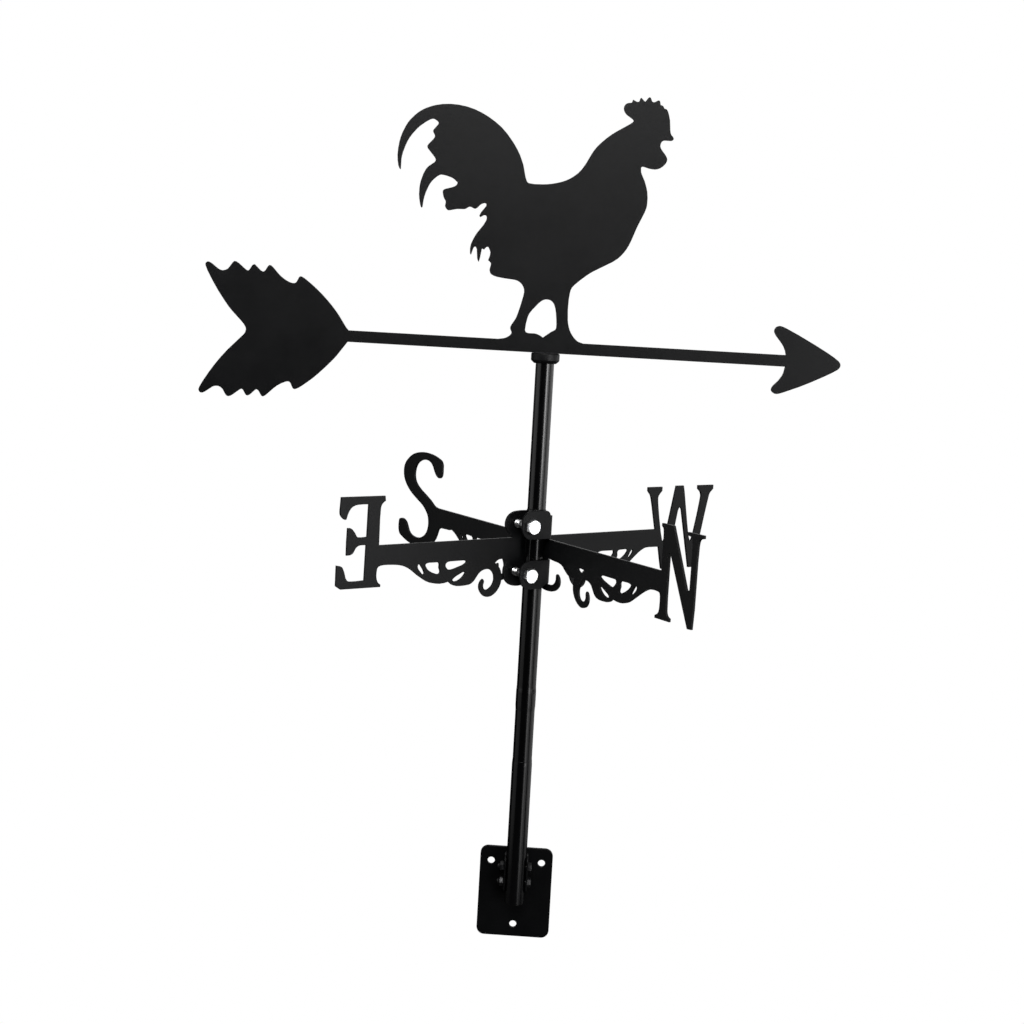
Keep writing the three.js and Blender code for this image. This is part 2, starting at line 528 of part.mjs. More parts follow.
// N scrollwork: from its leaf by the pole to the band's bottom edge at the letter
const LEAF_TO_RIBBON = [
  [50.9, -29.2, 1], [49.9, -33], [49.6, -37.2], [50.5, -42.2], [53.2, -47.3], [57.6, -51.6],
  [63.2, -54], [67.4, -53.5], [70.4, -51.8], [72.4, -49], [73.2, -45.6], [72.8, -41.6],
  [71.4, -38.9], [69.9, -37.8, 1], [68.9, -39.8], [69.2, -43.6], [68, -46.6], [65, -48.1],
  [61.8, -47.8], [59.6, -45.8], [58.3, -42.4], [58.2, -37.9], [60.3, -32.8], [63.4, -29.5],
  [67.6, -28], [71.6, -28.3], [75.7, -30.6], [78.4, -34.2], [81, -38.1], [84.2, -40.6],
  [88.9, -41.7], [94.6, -41.8], [99.9, -41.4], [103.6, -40.2], [107.6, -37.3, 1],
  [112.6, -38.2], [118, -38.4], [123.2, -37.6], [128.4, -35.7], [133.4, -32.6], [138.2, -29],
  [143.2, -25.4], [148.8, -21.8], [153.4, -19.6], [158.1, -18.4],
];
const N_SLOTS = [
  [[87.9, -20.5], [91.7, -19], [99, -18.8], [106.9, -18.9], [110, -19.3], [110.9, -21.2],
    [109.2, -24], [106.6, -26.4], [103.6, -26.8], [97, -24.9], [90.9, -22.8]],
  [[130.9, -19.9], [129.4, -22.7], [125, -26.3], [119.6, -29.2], [116.9, -29.9], [115.2, -29],
    [115.4, -27], [116.3, -24.4], [115.9, -21.2], [117.2, -19.3], [122.4, -18.8],
    [128.4, -18.8]],
  [[101.9, -36.1], [100.5, -37.4], [98.1, -37.5], [94, -36.2], [90.8, -33.8], [88.6, -31.2],
    [88.2, -29.4], [89.6, -29], [92.6, -30.1], [97.4, -32.6], [101, -34.7]],
  [[131.6, -28], [131.9, -26.6], [133.8, -23.4], [135.9, -20.3], [137.4, -19.3], [138.8, -20],
    [138.6, -22.2], [136.8, -24.7], [133.6, -27.6]],
];
// the small eye left between the leaf by the pole and the curl, just under the band
const N_EYE = [
  [55.6, -19.8], [57, -18.9], [61, -18.7], [64.2, -19.4], [64, -21.2], [61.2, -22.4],
  [57.6, -21.9],
];
const N_LETTER = [
  [168.8, 0, 1], [168.9, 33.6], [168.2, 36.4], [166.4, 37.9, 1], [166.4, 40.4, 1],
  [181.2, 40.4, 1], [201.4, -10.8, 1], [204.6, -9.6, 1], [204.8, 30.6], [203.8, 33.8],
  [199, 35.2, 1], [199, 38, 1], [218.2, 38, 1], [218.2, 35.2, 1], [213.6, 33.8], [212.2, 30.6],
  [210.4, -28], [209.4, -41.9, 1], [204.4, -42.2, 1], [178.6, 17.2, 1], [177.6, 17, 1],
  [177.4, -30], [177.9, -34.6], [179.4, -37.2], [182.2, -38.6, 1], [182.2, -41.4, 1],
  [163.8, -41.4, 1], [163.8, -38.9, 1], [166.8, -37.3], [168.6, -34.4], [169.2, -30],
  [169, -21.4], [168.2, -19.2], [165.8, -18.3],
];
const W_LETTER = [
  [166.4, -18.4, 1], [170.6, -37.6], [171.7, -41.8, 1], [179.4, -41.8, 1], [189.2, 13.4],
  [190.8, 19.6], [192.9, 22], [194.9, 19.9], [196.6, 13.6], [209.4, -42.4, 1],
  [216.2, -42.4, 1], [232.6, 31.7], [234, 35.4], [238.6, 39.9, 1], [238.6, 44, 1],
  [216.9, 44, 1], [216.9, 40.2, 1], [220.7, 36.8], [222, 33.6], [221.8, 30], [212.2, -12.4],
  [210.4, -14.6], [208.6, -12.6], [197.4, 40.4], [196.4, 44.2, 1], [186.2, 44.2, 1],
  [173.9, -11.4], [172.2, -13.6], [170.5, -11.4], [162, 29.4], [162.2, 34], [166.9, 39.5, 1],
  [166.9, 43.6, 1], [147.8, 43.6, 1], [147.8, 39.6, 1], [151.4, 35.6], [152.8, 32.3],
  [160.4, 0, 1],
];
const S_LETTER = [
  [166, -19.6, 1], [184.4, -20.6], [187.8, -22.4], [190, -27], [193.6, -33.6], [200, -39.6],
  [209, -44.2], [222, -47], [236, -47.4], [250, -45.8], [262.8, -42], [268.6, -39.4],
  [271.2, -34.6], [271.4, -26.4], [270.4, -23.2, 1], [266, -21.6], [260.6, -22.2],
  [256, -24.6], [253, -28.4], [249.6, -33.4], [244.6, -36.6], [237.7, -38], [228.2, -37.8],
  [219.5, -35.2], [213, -30.6], [209.6, -24.8], [208.8, -18.4], [210.8, -11], [215.9, -5.6],
  [222.4, -1.2], [239.7, 6], [250.4, 11.2], [260, 18.6], [264.4, 24.6], [266, 31],
  [265.3, 37.4], [261.4, 43.2], [255.2, 48.2], [247, 52.6], [234, 55.9], [222, 56.8],
  [207.6, 55.9], [195.9, 53.4], [189, 50.8], [186.4, 47, 1], [186.4, 37], [188, 33.8],
  [191.6, 32.2], [196.4, 33.6], [200.8, 37.4], [204.8, 43], [209.4, 46.8], [214.6, 48.6],
  [221, 48.9], [229.5, 47.4], [236.7, 43.8], [240.6, 39.4], [242.6, 34], [242.6, 28.6],
  [240.6, 23.6], [236, 19.2], [228.4, 15.1], [216, 10], [206, 5.4], [199, 1.4], [192, 0, 1],
];

const mapX = (points, place) => points.map(([x, ...rest]) => [place(x), ...rest]);
const mirrored = x => -x;
// the N scrollwork serves three arms: W takes it shortened, S mirrored and further out
const scrollToWest = x => 54 + (x - 52) * 0.9;
const scrollToSouth = x => -x - 5;

// plate outlines, in plate coordinates; the short runs are the clamp beside the pole
const EW_EDGE = [
  [CROSS_NEAR, -HALF_BAND - CROSS_GAP, 1], [CROSS_NEAR, 0, 1],
  [5.5, 0, 1], [5.8, 2, 1], [5.8, 19], [4.2, 23.2], [0, 25.5, 1], [-12, 25.5], [-19.5, 24.4],
  [-25.2, 20.6], [-27.6, 15], [-27.4, 10.5], [-24.8, 6.4], [-20.6, 1.8], [-18.7, 0, 1],
  ...mapX(E_LETTER, mirrored), ...mapX(E_SCROLL, mirrored),
  [-24.2, -22.4, 1], [-27, -28], [-27.4, -34], [-25.2, -40.2], [-20.2, -44.8], [-13.4, -46.6],
  [-5, -46.4], [0.6, -44.6], [4.8, -40.4], [5.8, -35], [5.8, -22, 1], [5.6, -BAND_H, 1],
  [48.5, -BAND_H, 1], ...mapX(LEAF_TO_RIBBON, scrollToWest), ...W_LETTER,
  [CROSS_FAR, 0, 1], [CROSS_FAR, -HALF_BAND - CROSS_GAP, 1],
];
const NS_EDGE = [
  [-CROSS_NEAR, -BAND_H, 1], [-CROSS_NEAR, -HALF_BAND + CROSS_GAP, 1],
  [-CROSS_FAR, -HALF_BAND + CROSS_GAP, 1], [-CROSS_FAR, -BAND_H, 1],
  [-46, -BAND_H, 1], ...mapX(LEAF_TO_RIBBON, scrollToSouth), ...mapX(S_LETTER, mirrored),
  [WEB_BACK - 3, 0, 1], [WEB_BACK - 0.6, 2.4], [WEB_BACK, 6, 1], [WEB_BACK, 17],
  [WEB_BACK + 2.2, 21.4], [2.4, UPPER_FOLD[1], 1], [FOLD_START, UPPER_FOLD[1], 1],
  [FOLD_START, UPPER_FOLD[0], 1], [FOLD_START - 1.2, 0, 1],
  ...N_LETTER, ...[...LEAF_TO_RIBBON].reverse(),
  [46.5, -29.4], [41.8, -28.6], [37.6, -26], [31.8, -21.3], [28.1, -20], [24.8, -19.4],
  [19.4, -19.2], [14.5, -18.6, 1], [FOLD_START - 1.2, -BAND_H, 1],
  [FOLD_START, LOWER_FOLD[1], 1], [FOLD_START, LOWER_FOLD[0], 1], [FOLD_START + 0.8, -42.6, 1],
  [13.4, -42.7], [18.4, -41.6], [21.6, -39.2], [23.1, -36], [23.2, -31.6], [23.9, -30.6, 1],
  [25.2, -31], [27.7, -33.6], [28.8, -37], [28.2, -41], [24.6, -45.2], [19.4, -47.9],
  [13.5, -48.8], [7, -48.8], [2, -47.8], [-1.6, -45], [WEB_BACK, -41, 1],
  [WEB_BACK, -24, 1], [WEB_BACK - 3, -BAND_H, 1],
];
// clamp tabs, [x, z, corner radius]
const UPPER_TAB = [
  [FOLD_START, UPPER_FOLD[0]], [FOLD_START, 28, 5], [TAB_TIP, 28, 10.5],
  [TAB_TIP, UPPER_FOLD[0], 11],
];
const LOWER_TAB = [
  [FOLD_START, LOWER_FOLD[0]], [FOLD_START, LOWER_FOLD[1]], [TAB_TIP, LOWER_FOLD[1], 11],
  [TAB_TIP, -46, 12.5], [1.5, -46, 4],
];

const clampHole = z => circle(CLAMP_BOLT.x, z, CLAMP_BOLT.holeRadius, 24);

// E-W plate, behind the pole: both arms lie in one sheet, slotted for the other plate
function addPlateEW() {
  const holes = [
    ...E_SLOTS.map(slot => outline(mapX(slot, mirrored))),
    ...N_SLOTS.map(slot => outline(mapX(slot, scrollToWest))),
    clampHole(UPPER_BOLT_Z), clampHole(LOWER_BOLT_Z),
  ];
  const plate = sheetAcross(outline(EW_EDGE), holes, CLAMP, SHEET);
  addPiece(compass, 'compass_plate_ew', plate, satinBlack());
}

// quarter-round bend between the N-S plate and a tab
function fold([z0, z1]) {
  const steps = 6;
  const arc = radius => Array.from({ length: steps + 1 }, (_, i) => {
    const angle = i / steps * Math.PI / 2;
    return new THREE.Vector2(
      FOLD_START + radius * Math.cos(angle), -FOLD_START - radius * Math.sin(angle));
  });
  const section = [...arc(FOLD_R + SHEET), ...arc(FOLD_R).reverse()];
  return sheet(section, [], z1 - z0).translate(0, 0, z0);
}

const tab = (points, boltZ) =>
  sheetAcross(rounded(points, 12), [clampHole(boltZ)], -CLAMP - SHEET, SHEET);

// N-S plate, beside the pole: slotted from below, its two clamp tabs folded round the pole's
// N side
function addPlateNS() {
  const openings = [...N_SLOTS, N_EYE];
  const holes = [
    ...openings.map(outline),
    ...openings.map(points => outline(mapX(points, scrollToSouth))),
  ];
  addPiece(compass, 'compass_plate_ns', joined(
    sheetAlongY(outline(NS_EDGE), holes, CLAMP, SHEET),
    fold(UPPER_FOLD), tab(UPPER_TAB, UPPER_BOLT_Z),
    fold(LOWER_FOLD), tab(LOWER_TAB, LOWER_BOLT_Z),
  ), satinBlack());
}

// M8 bolt from N to S past the pole, with its washer and nut on the S side
function addClampBolt(side, z) {
  const bolt = CLAMP_BOLT;
  const back = CLAMP + SHEET + GAP;
  const face = -back;
  const nutFace = back + bolt.washerThickness + GAP;
  const hexRadius = bolt.hexHalfWidth * HEX_CORNER;
  const rod = (radius, y0, y1, segments) => rodY(radius, y0, y1, bolt.x, z, segments);
  addPiece(compass, `compass_bolt_${side}`, joined(
    rod(hexRadius, face - bolt.headHeight, face, 6),
    rod(bolt.radius, face - 1, back + bolt.beyond, 28)), zinc());
  addPiece(compass, `compass_washer_${side}`, drilled(
    solid(rod(bolt.washerRadius, back, back + bolt.washerThickness, 32)),
    [rod(bolt.washerBore, back - 1, back + 3, 28)]), zinc());
  addPiece(compass, `compass_nut_${side}`, drilled(
    solid(rod(hexRadius, nutFace, nutFace + bolt.nutHeight, 6)),
    [rod(bolt.nutBore, back, back + 10, 28)]), zinc());
}

// ---------------------------------------------------------------- wall bracket
const PLATE = { width: 70.2, height: 87.5, thickness: 3, cornerRadius: 7.5 };
const SCREW_HOLE_R = 7 / 2;
const SCREW_HOLES = [[-24.4, 29.4], [24.4, 29.4], [0, -32]];      // [x, z]
const BRACKET_INNER = 9.8;                    // half the width between the cheeks
const BRACKET_OUTER = BRACKET_INNER + 1.5;    // to the outside of the cheeks
const BRACKET_Z0 = 5, BRACKET_Z1 = 41;
const BRACKET_FRONT = -20.5;                  // y of the cheeks' front edges
const WEB_REAR = -PLATE.thickness - GAP;      // y of the web's face on the plate
const WEB_FRONT = WEB_REAR - (BRACKET_OUTER - BRACKET_INNER);

function addBasePlate() {
  const { width, height, thickness, cornerRadius } = PLATE;
  const corners = [[-1, -1], [1, -1], [1, 1], [-1, 1]]
    .map(([x, z]) => [x * width / 2, z * height / 2, cornerRadius]);
  const holes = SCREW_HOLES.map(([x, z]) => circle(x, z, SCREW_HOLE_R, 28));
  const plate = sheetAcross(rounded(corners, 11), holes, -thickness, thickness);
  addPiece(model, 'base_plate', plate, satinBlack());
}

// U-shaped channel, open to the front, its cheeks rounded at their front corners
function addPoleBracket() {
  const inner = BRACKET_INNER, outer = BRACKET_OUTER;
  const channel = sheet(rounded([
    [-outer, BRACKET_FRONT], [-inner, BRACKET_FRONT], [-inner, WEB_FRONT, 2],
    [inner, WEB_FRONT, 2], [inner, BRACKET_FRONT], [outer, BRACKET_FRONT],
    [outer, WEB_REAR, 3.6], [-outer, WEB_REAR, 3.6],
  ], 18), [], BRACKET_Z1 - BRACKET_Z0).translate(0, 0, BRACKET_Z0);

  // side view that trims the cheeks, and a block that keeps the web whole
  const rear = -WEB_REAR - 0.5, step = -WEB_FRONT + 1, front = -BRACKET_FRONT;
  const cheeks = sheetAlongY(rounded([
    [rear, BRACKET_Z0 - 1], [rear, BRACKET_Z1 + 1], [step, BRACKET_Z1 + 1], [step, BRACKET_Z1],
    [front, BRACKET_Z1, 6], [front, BRACKET_Z0, 6], [step, BRACKET_Z0], [step, BRACKET_Z0 - 1],
  ], 15), [], -20, 40);
  const web = new THREE.BoxGeometry(40, 5, 60).translate(0, WEB_REAR - 1, 15);

  const boltHoles = BRACKET_BOLT.heights.map(z =>
    rodX(BRACKET_BOLT.holeRadius, -20, 20, POLE_Y, z, 20));
  const body = solid(channel).intersect(joined(cheeks, web));
  addPiece(model, 'pole_bracket', drilled(body, boltHoles), satinBlack());
}

// M5 bolt across the bracket, its head on the +X side and its nut on the -X side
function addBracketBolt(side, z) {
  const hexRadius = 4 * HEX_CORNER;
  const headFace = BRACKET_OUTER + GAP;
  const rod = (radius, x0, x1, segments) => rodX(radius, x0, x1, POLE_Y, z, segments);
  addPiece(model, `bracket_bolt_${side}`, joined(
    rod(hexRadius, headFace, headFace + 3.5, 6),
    rod(BRACKET_BOLT.radius, -BRACKET_OUTER - 6.2, BRACKET_OUTER + 1, 20)), satinBlack());
  addPiece(model, `bracket_nut_${side}`, drilled(
    solid(rod(hexRadius, -headFace - 4, -headFace, 6)),
    [rod(2.6, -BRACKET_OUTER - 6, -BRACKET_OUTER + 2, 20)]), satinBlack());
}

// ---------------------------------------------------------------- assembly
addVanePlate();
addSocket();
addSpindle();
addBushes();
addThrustBearing();
addUpperTube();
addMiddleTube();
addLowerTube();
addJoint();

addPlateEW();
addPlateNS();
addClampBolt('upper', UPPER_BOLT_Z);
addClampBolt('lower', LOWER_BOLT_Z);

addBasePlate();
addPoleBracket();
addBracketBolt('upper', BRACKET_BOLT.heights[0]);
addBracketBolt('lower', BRACKET_BOLT.heights[1]);

export default model;
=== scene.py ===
# A rooster weather vane: a cut sheet of arrow and rooster turns on a pole, over a compass of two
# crossed sheets, and the pole stands in a channel bracket on a wall plate.
# Metres, +Z up. The front faces -Y and the wall lies towards +Y; the pole runs along Z at AXIS.
# Profiles of turned pieces and fasteners are in millimetres.
import json
import math
import bpy
import bmesh
from mathutils import Matrix, Vector
from mathutils.geometry import delaunay_2d_cdt

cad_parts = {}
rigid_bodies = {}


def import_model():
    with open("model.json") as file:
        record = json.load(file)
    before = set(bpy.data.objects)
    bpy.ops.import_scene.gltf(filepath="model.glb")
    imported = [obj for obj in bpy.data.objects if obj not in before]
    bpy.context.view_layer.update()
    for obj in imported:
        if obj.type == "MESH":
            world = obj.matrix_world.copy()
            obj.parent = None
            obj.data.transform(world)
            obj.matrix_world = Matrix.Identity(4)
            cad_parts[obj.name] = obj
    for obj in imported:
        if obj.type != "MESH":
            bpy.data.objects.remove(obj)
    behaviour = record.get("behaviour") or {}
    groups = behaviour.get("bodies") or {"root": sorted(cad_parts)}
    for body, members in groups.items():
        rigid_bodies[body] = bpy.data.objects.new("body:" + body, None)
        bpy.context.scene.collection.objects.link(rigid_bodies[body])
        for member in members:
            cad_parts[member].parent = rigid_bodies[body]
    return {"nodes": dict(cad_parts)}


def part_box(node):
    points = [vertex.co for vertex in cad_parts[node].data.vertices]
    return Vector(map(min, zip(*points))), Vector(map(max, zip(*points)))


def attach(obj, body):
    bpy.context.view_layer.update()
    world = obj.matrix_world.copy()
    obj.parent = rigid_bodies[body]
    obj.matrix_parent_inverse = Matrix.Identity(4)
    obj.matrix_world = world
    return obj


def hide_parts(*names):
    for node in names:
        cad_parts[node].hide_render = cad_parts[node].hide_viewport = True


for old in list(bpy.data.objects):
    bpy.data.objects.remove(old)

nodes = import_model()["nodes"]
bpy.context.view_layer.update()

MM = 0.001
AXIS = Vector((0.0, -0.015, 0.0))
AT_POLE = Matrix.Translation(AXIS)
# takes a sheet drawn in x, y with its thickness along z to one that stands in x, z, facing -Y
STANDING = Matrix(((1, 0, 0, 0), (0, 0, -1, 0), (0, 1, 0, 0), (0, 0, 0, 1)))


# ------------------------------------------------------------------ materials
class Graph:
    """A material's node tree, with a Principled shader fed from object coordinates."""

    def __init__(self, name):
        self.mat = bpy.data.materials.new(name)
        self.mat.use_nodes = True
        self.tree = self.mat.node_tree
        self.tree.nodes.clear()
        output = self.node("OutputMaterial")
        self.bsdf = self.node("BsdfPrincipled")
        self.tree.links.new(self.bsdf.outputs[0], output.inputs[0])
        self.pos = self.node("TexCoord").outputs["Object"]

    def node(self, kind):
        return self.tree.nodes.new("ShaderNode" + kind)

    def feed(self, socket, value):
        """Sets a socket to a number or a colour, or links another socket to it."""
        if isinstance(value, (int, float)):
            socket.default_value = value
        elif isinstance(value, tuple):
            socket.default_value = (*value, 1.0)
        else:
            self.tree.links.new(value, socket)

    def scaled(self, x, y, z):
        """Object coordinates scaled per axis; a small scale draws a texture out along it."""
        n = self.node("Mapping")
        n.inputs["Scale"].default_value = (x, y, z)
        self.feed(n.inputs["Vector"], self.pos)
        return n.outputs[0]

    def noise(self, scale, detail, rough, coords=None):
        n = self.node("TexNoise")
        n.inputs["Scale"].default_value = scale
        n.inputs["Detail"].default_value = detail
        n.inputs["Roughness"].default_value = rough
        self.feed(n.inputs["Vector"], coords or self.pos)
        return n.outputs["Fac"]

    def voronoi(self, scale):
        n = self.node("TexVoronoi")
        n.inputs["Scale"].default_value = scale
        self.feed(n.inputs["Vector"], self.pos)
        return n.outputs["Distance"]

    def range(self, value, low, high, to_low=0.0, to_high=1.0):
        """Maps low..high to to_low..to_high."""
        n = self.node("MapRange")
        n.inputs["From Min"].default_value = low
        n.inputs["From Max"].default_value = high
        n.inputs["To Min"].default_value = to_low
        n.inputs["To Max"].default_value = to_high
        self.feed(n.inputs["Value"], value)
        return n.outputs["Result"]

    def math(self, operation, a, b):
        n = self.node("Math")
        n.operation = operation
        self.feed(n.inputs[0], a)
        self.feed(n.inputs[1], b)
        return n.outputs[0]

    def mix(self, amount, base, over):
        n = self.node("Mix")
        n.data_type = "RGBA"
        self.feed(n.inputs[0], amount)
        self.feed(n.inputs[6], base)
        self.feed(n.inputs[7], over)
        return n.outputs[2]

    def tint(self, value, low, high, base, over, amount=1.0):
        """Goes from base towards over as value goes from low to high."""
        return self.mix(self.range(value, low, high, 0.0, amount), base, over)

    def edge(self, radius, gain):
        """1 where the surface turns sharply within radius, 0 on the flat."""
        bevel = self.node("Bevel")
        bevel.samples = 4
        bevel.inputs["Radius"].default_value = radius
        geometry = self.node("NewGeometry")
        dot = self.node("VectorMath")
        dot.operation = "DOT_PRODUCT"
        self.feed(dot.inputs[0], bevel.outputs[0])
        self.feed(dot.inputs[1], geometry.outputs["Normal"])
        turned_away = self.math("SUBTRACT", 1.0, dot.outputs["Value"])
        gained = self.math("MULTIPLY", turned_away, gain)
        clamp = self.node("Clamp")
        self.feed(clamp.inputs[0], gained)
        return clamp.outputs[0]

    def edge_tint(self, radius, gain, amount, base, over):
        return self.mix(self.math("MULTIPLY", self.edge(radius, gain), amount), base, over)

    def bump(self, heights, strengths, distances):
        """Stacks one bump on another, in the order given."""
        last = None
        for height, strength, distance in zip(heights, strengths, distances):
            n = self.node("Bump")
            n.inputs["Strength"].default_value = strength
            n.inputs["Distance"].default_value = distance
            self.feed(n.inputs["Height"], height)
            if last is not None:
                self.feed(n.inputs["Normal"], last)
            last = n.outputs[0]
        self.feed(self.bsdf.inputs["Normal"], last)

    def set(self, **inputs):
        """Feeds the Principled shader's inputs and returns the material."""
        for key, value in inputs.items():
            self.feed(self.bsdf.inputs[key.replace("_", " ")], value)
        return self.mat


def powder_coat(name, brightness, specular):
    """Satin black powder coat: orange peel, soft mottling, dust and thin film on the edges."""
    # brightness scales the coat's own base colours; below 1 it makes a darker copy of the coat,
    # painted shade
    def shade(*rgb):
        return tuple(c * brightness for c in rgb)

    g = Graph(name)
    broad = g.noise(scale=11.0, detail=3.0, rough=0.55)
    mottle = g.noise(scale=95.0, detail=4.0, rough=0.6)
    base = g.tint(broad, low=0.3, high=0.7,
                  base=shade(0.0030, 0.0031, 0.0035), over=shade(0.0046, 0.0048, 0.0054))
    base = g.tint(mottle, low=0.35, high=0.75, amount=0.35,
                  base=base, over=shade(0.0066, 0.0068, 0.0075))
    edge = g.edge(radius=0.0009, gain=3.2)
    broken = g.range(g.noise(scale=420.0, detail=2.0, rough=0.6), low=0.42, high=0.62)
    worn = g.math("MULTIPLY", edge, g.math("MULTIPLY", broken, 0.55))
    base = g.mix(worn, base, over=(0.020, 0.021, 0.022))
    # dust specks, gathered in patches
    speck = g.range(g.voronoi(scale=900.0), low=0.0, high=0.09, to_low=1.0, to_high=0.0)
    patch = g.range(g.noise(scale=60.0, detail=2.0, rough=0.5), low=0.56, high=0.66)
    dust = g.math("MULTIPLY", g.math("MULTIPLY", speck, patch), 0.35)
    base = g.mix(dust, base, over=(0.06, 0.06, 0.062))
    rough = g.range(g.noise(scale=26.0, detail=4.0, rough=0.6),
                    low=0.25, high=0.75, to_low=0.38, to_high=0.50)
    rough = g.math("ADD", rough, g.math("MULTIPLY", worn, 0.12))
    peel = g.noise(scale=1500.0, detail=1.0, rough=0.4)
    wave = g.noise(scale=330.0, detail=2.0, rough=0.5)
    g.bump((wave, peel), strengths=(0.10, 0.16), distances=(0.0004, 0.00016))
    return g.set(Base_Color=base, Roughness=rough, Specular_IOR_Level=specular)


def tube_enamel():
    """Glossy black enamel on drawn tube: long faint draw lines, waviness, the odd dull rub."""
    g = Graph("gloss_black_enamel")
    lines = g.noise(scale=260.0, detail=3.0, rough=0.6, coords=g.scaled(1.0, 1.0, 0.012))
    rubs = g.noise(scale=34.0, detail=5.0, rough=0.65, coords=g.scaled(1.0, 1.0, 0.35))
    base = g.tint(rubs, low=0.35, high=0.7,
                  base=(0.0008, 0.0008, 0.0010), over=(0.0014, 0.0014, 0.0017))
    edge = g.edge(radius=0.0007, gain=3.0)
    broken = g.range(g.noise(scale=500.0, detail=2.0, rough=0.5),
                     low=0.45, high=0.65, to_high=0.5)
    base = g.mix(g.math("MULTIPLY", edge, broken), base, over=(0.020, 0.020, 0.021))
    rough = g.range(rubs, low=0.3, high=0.75, to_low=0.14, to_high=0.23)
    rough = g.math("ADD", rough, g.range(lines, low=0.35, high=0.7, to_high=0.05))
    wave = g.noise(scale=60.0, detail=2.0, rough=0.4)
    grain = g.noise(scale=1300.0, detail=1.0, rough=0.4)
    g.bump((lines, wave, grain),
           strengths=(0.035, 0.05, 0.03), distances=(0.0003, 0.0012, 0.00012))
    return g.set(Base_Color=base, Roughness=rough, Specular_IOR_Level=0.5,
                 Coat_Weight=0.15, Coat_Roughness=0.10)


def black_fastener():
    """Black paint, worn brighter along the edges."""
    g = Graph("black_painted_fastener")
    cloud = g.noise(scale=300.0, detail=4.0, rough=0.6)
    base = g.tint(cloud, low=0.3, high=0.7,
                  base=(0.0035, 0.0035, 0.004), over=(0.008, 0.008, 0.009))
    edge = g.edge(radius=0.0005, gain=3.0)
    broken = g.range(g.noise(scale=900.0, detail=2.0, rough=0.5),
                     low=0.4, high=0.6, to_high=0.7)
    base = g.mix(g.math("MULTIPLY", edge, broken), base, over=(0.06, 0.06, 0.062))
    grain = g.noise(scale=1500.0, detail=2.0, rough=0.5)
    g.bump((grain,), strengths=(0.12,), distances=(0.00015,))
    rough = g.range(cloud, low=0.3, high=0.7, to_low=0.28, to_high=0.45)
    return g.set(Base_Color=base, Roughness=rough, Specular_IOR_Level=0.5)


def zinc():
    """Bright zinc plate: bluish and yellowish clouds, a faint crystal spangle, pale edges."""
    g = Graph("bright_zinc_plate")
    cloud = g.noise(scale=220.0, detail=4.0, rough=0.6)
    spangle = g.voronoi(scale=1600.0)
    base = g.tint(cloud, low=0.3, high=0.7, base=(0.74, 0.76, 0.80), over=(0.90, 0.90, 0.88))
    base = g.tint(g.noise(scale=90.0, detail=3.0, rough=0.5), low=0.5, high=0.75, amount=0.35,
                  base=base, over=(0.82, 0.78, 0.66))
    base = g.edge_tint(radius=0.0006, gain=2.5, amount=0.4, base=base, over=(0.96, 0.96, 0.95))
    rough = g.range(cloud, low=0.25, high=0.75, to_low=0.22, to_high=0.38)
    brushed = g.noise(scale=2400.0, detail=2.0, rough=0.5, coords=g.scaled(1.0, 0.2, 1.0))
    g.bump((spangle, brushed), strengths=(0.05, 0.06), distances=(0.00012, 0.00008))
    return g.set(Base_Color=base, Roughness=rough, Metallic=1.0)


def turned_steel():
    """Plain steel with fine turning rings round Z."""
    g = Graph("turned_steel")
    rings = g.noise(scale=1800.0, detail=2.0, rough=0.5, coords=g.scaled(0.02, 0.02, 1.0))
    cloud = g.noise(scale=70.0, detail=4.0, rough=0.6)
    base = g.tint(cloud, low=0.3, high=0.7, base=(0.46, 0.46, 0.47), over=(0.62, 0.62, 0.63))
    base = g.edge_tint(radius=0.0005, gain=3.0, amount=0.5, base=base, over=(0.78, 0.78, 0.78))
    g.bump((rings,), strengths=(0.12,), distances=(0.00006,))
    rough = g.range(rings, low=0.3, high=0.7, to_low=0.2, to_high=0.34)
    return g.set(Base_Color=base, Roughness=rough, Metallic=1.0)


def nylon():
    """Natural nylon, off-white and slightly translucent."""
    g = Graph("natural_nylon")
    cloud = g.noise(scale=120.0, detail=3.0, rough=0.5)
    base = g.tint(cloud, low=0.3, high=0.7, base=(0.62, 0.60, 0.53), over=(0.72, 0.71, 0.66))
    base = g.edge_tint(radius=0.0005, gain=3.0, amount=0.4, base=base, over=(0.82, 0.81, 0.78))
    grain = g.noise(scale=1400.0, detail=2.0, rough=0.5)
    g.bump((grain,), strengths=(0.1,), distances=(0.0001,))
    rough = g.range(cloud, low=0.3, high=0.7, to_low=0.42, to_high=0.58)
    return g.set(Base_Color=base, Roughness=rough, Subsurface_Weight=0.1)


def weld_paint():
    """Black coat over a rippled weld bead."""
    g = Graph("painted_weld_bead")
    cloud = g.noise(scale=700.0, detail=3.0, rough=0.6)
    base = g.tint(cloud, low=0.3, high=0.7,
                  base=(0.006, 0.006, 0.007), over=(0.012, 0.012, 0.0135))
    base = g.edge_tint(radius=0.0005, gain=2.0, amount=0.3, base=base, over=(0.03, 0.03, 0.032))
    grain = g.noise(scale=2200.0, detail=1.0, rough=0.5)
    g.bump((cloud, grain), strengths=(0.25, 0.1), distances=(0.0002, 0.0001))
    rough = g.range(cloud, low=0.3, high=0.7, to_low=0.36, to_high=0.5)
    return g.set(Base_Color=base, Roughness=rough, Specular_IOR_Level=0.25)


# finishes: (slot, material)
COAT = ("satin_black_paint",
        powder_coat("satin_black_powder_coat", brightness=1.0, specular=0.25))
ENAMEL = ("gloss_black_tube", tube_enamel())
FASTENER = ("blackened_fastener", black_fastener())
# the wall plate and its bracket: the same coat made darker and less shiny, painted shade for the
# light that falls off towards the foot
SHADED_WALL_COAT = ("satin_black_paint",
             powder_coat("satin_black_powder_coat_in_painted_shade", brightness=0.55, specular=0.14))
ZINC = ("bright_zinc", zinc())
STEEL = ("plain_steel", turned_steel())
NYLON = ("natural_nylon", nylon())
WELD = ("satin_black_paint", weld_paint())


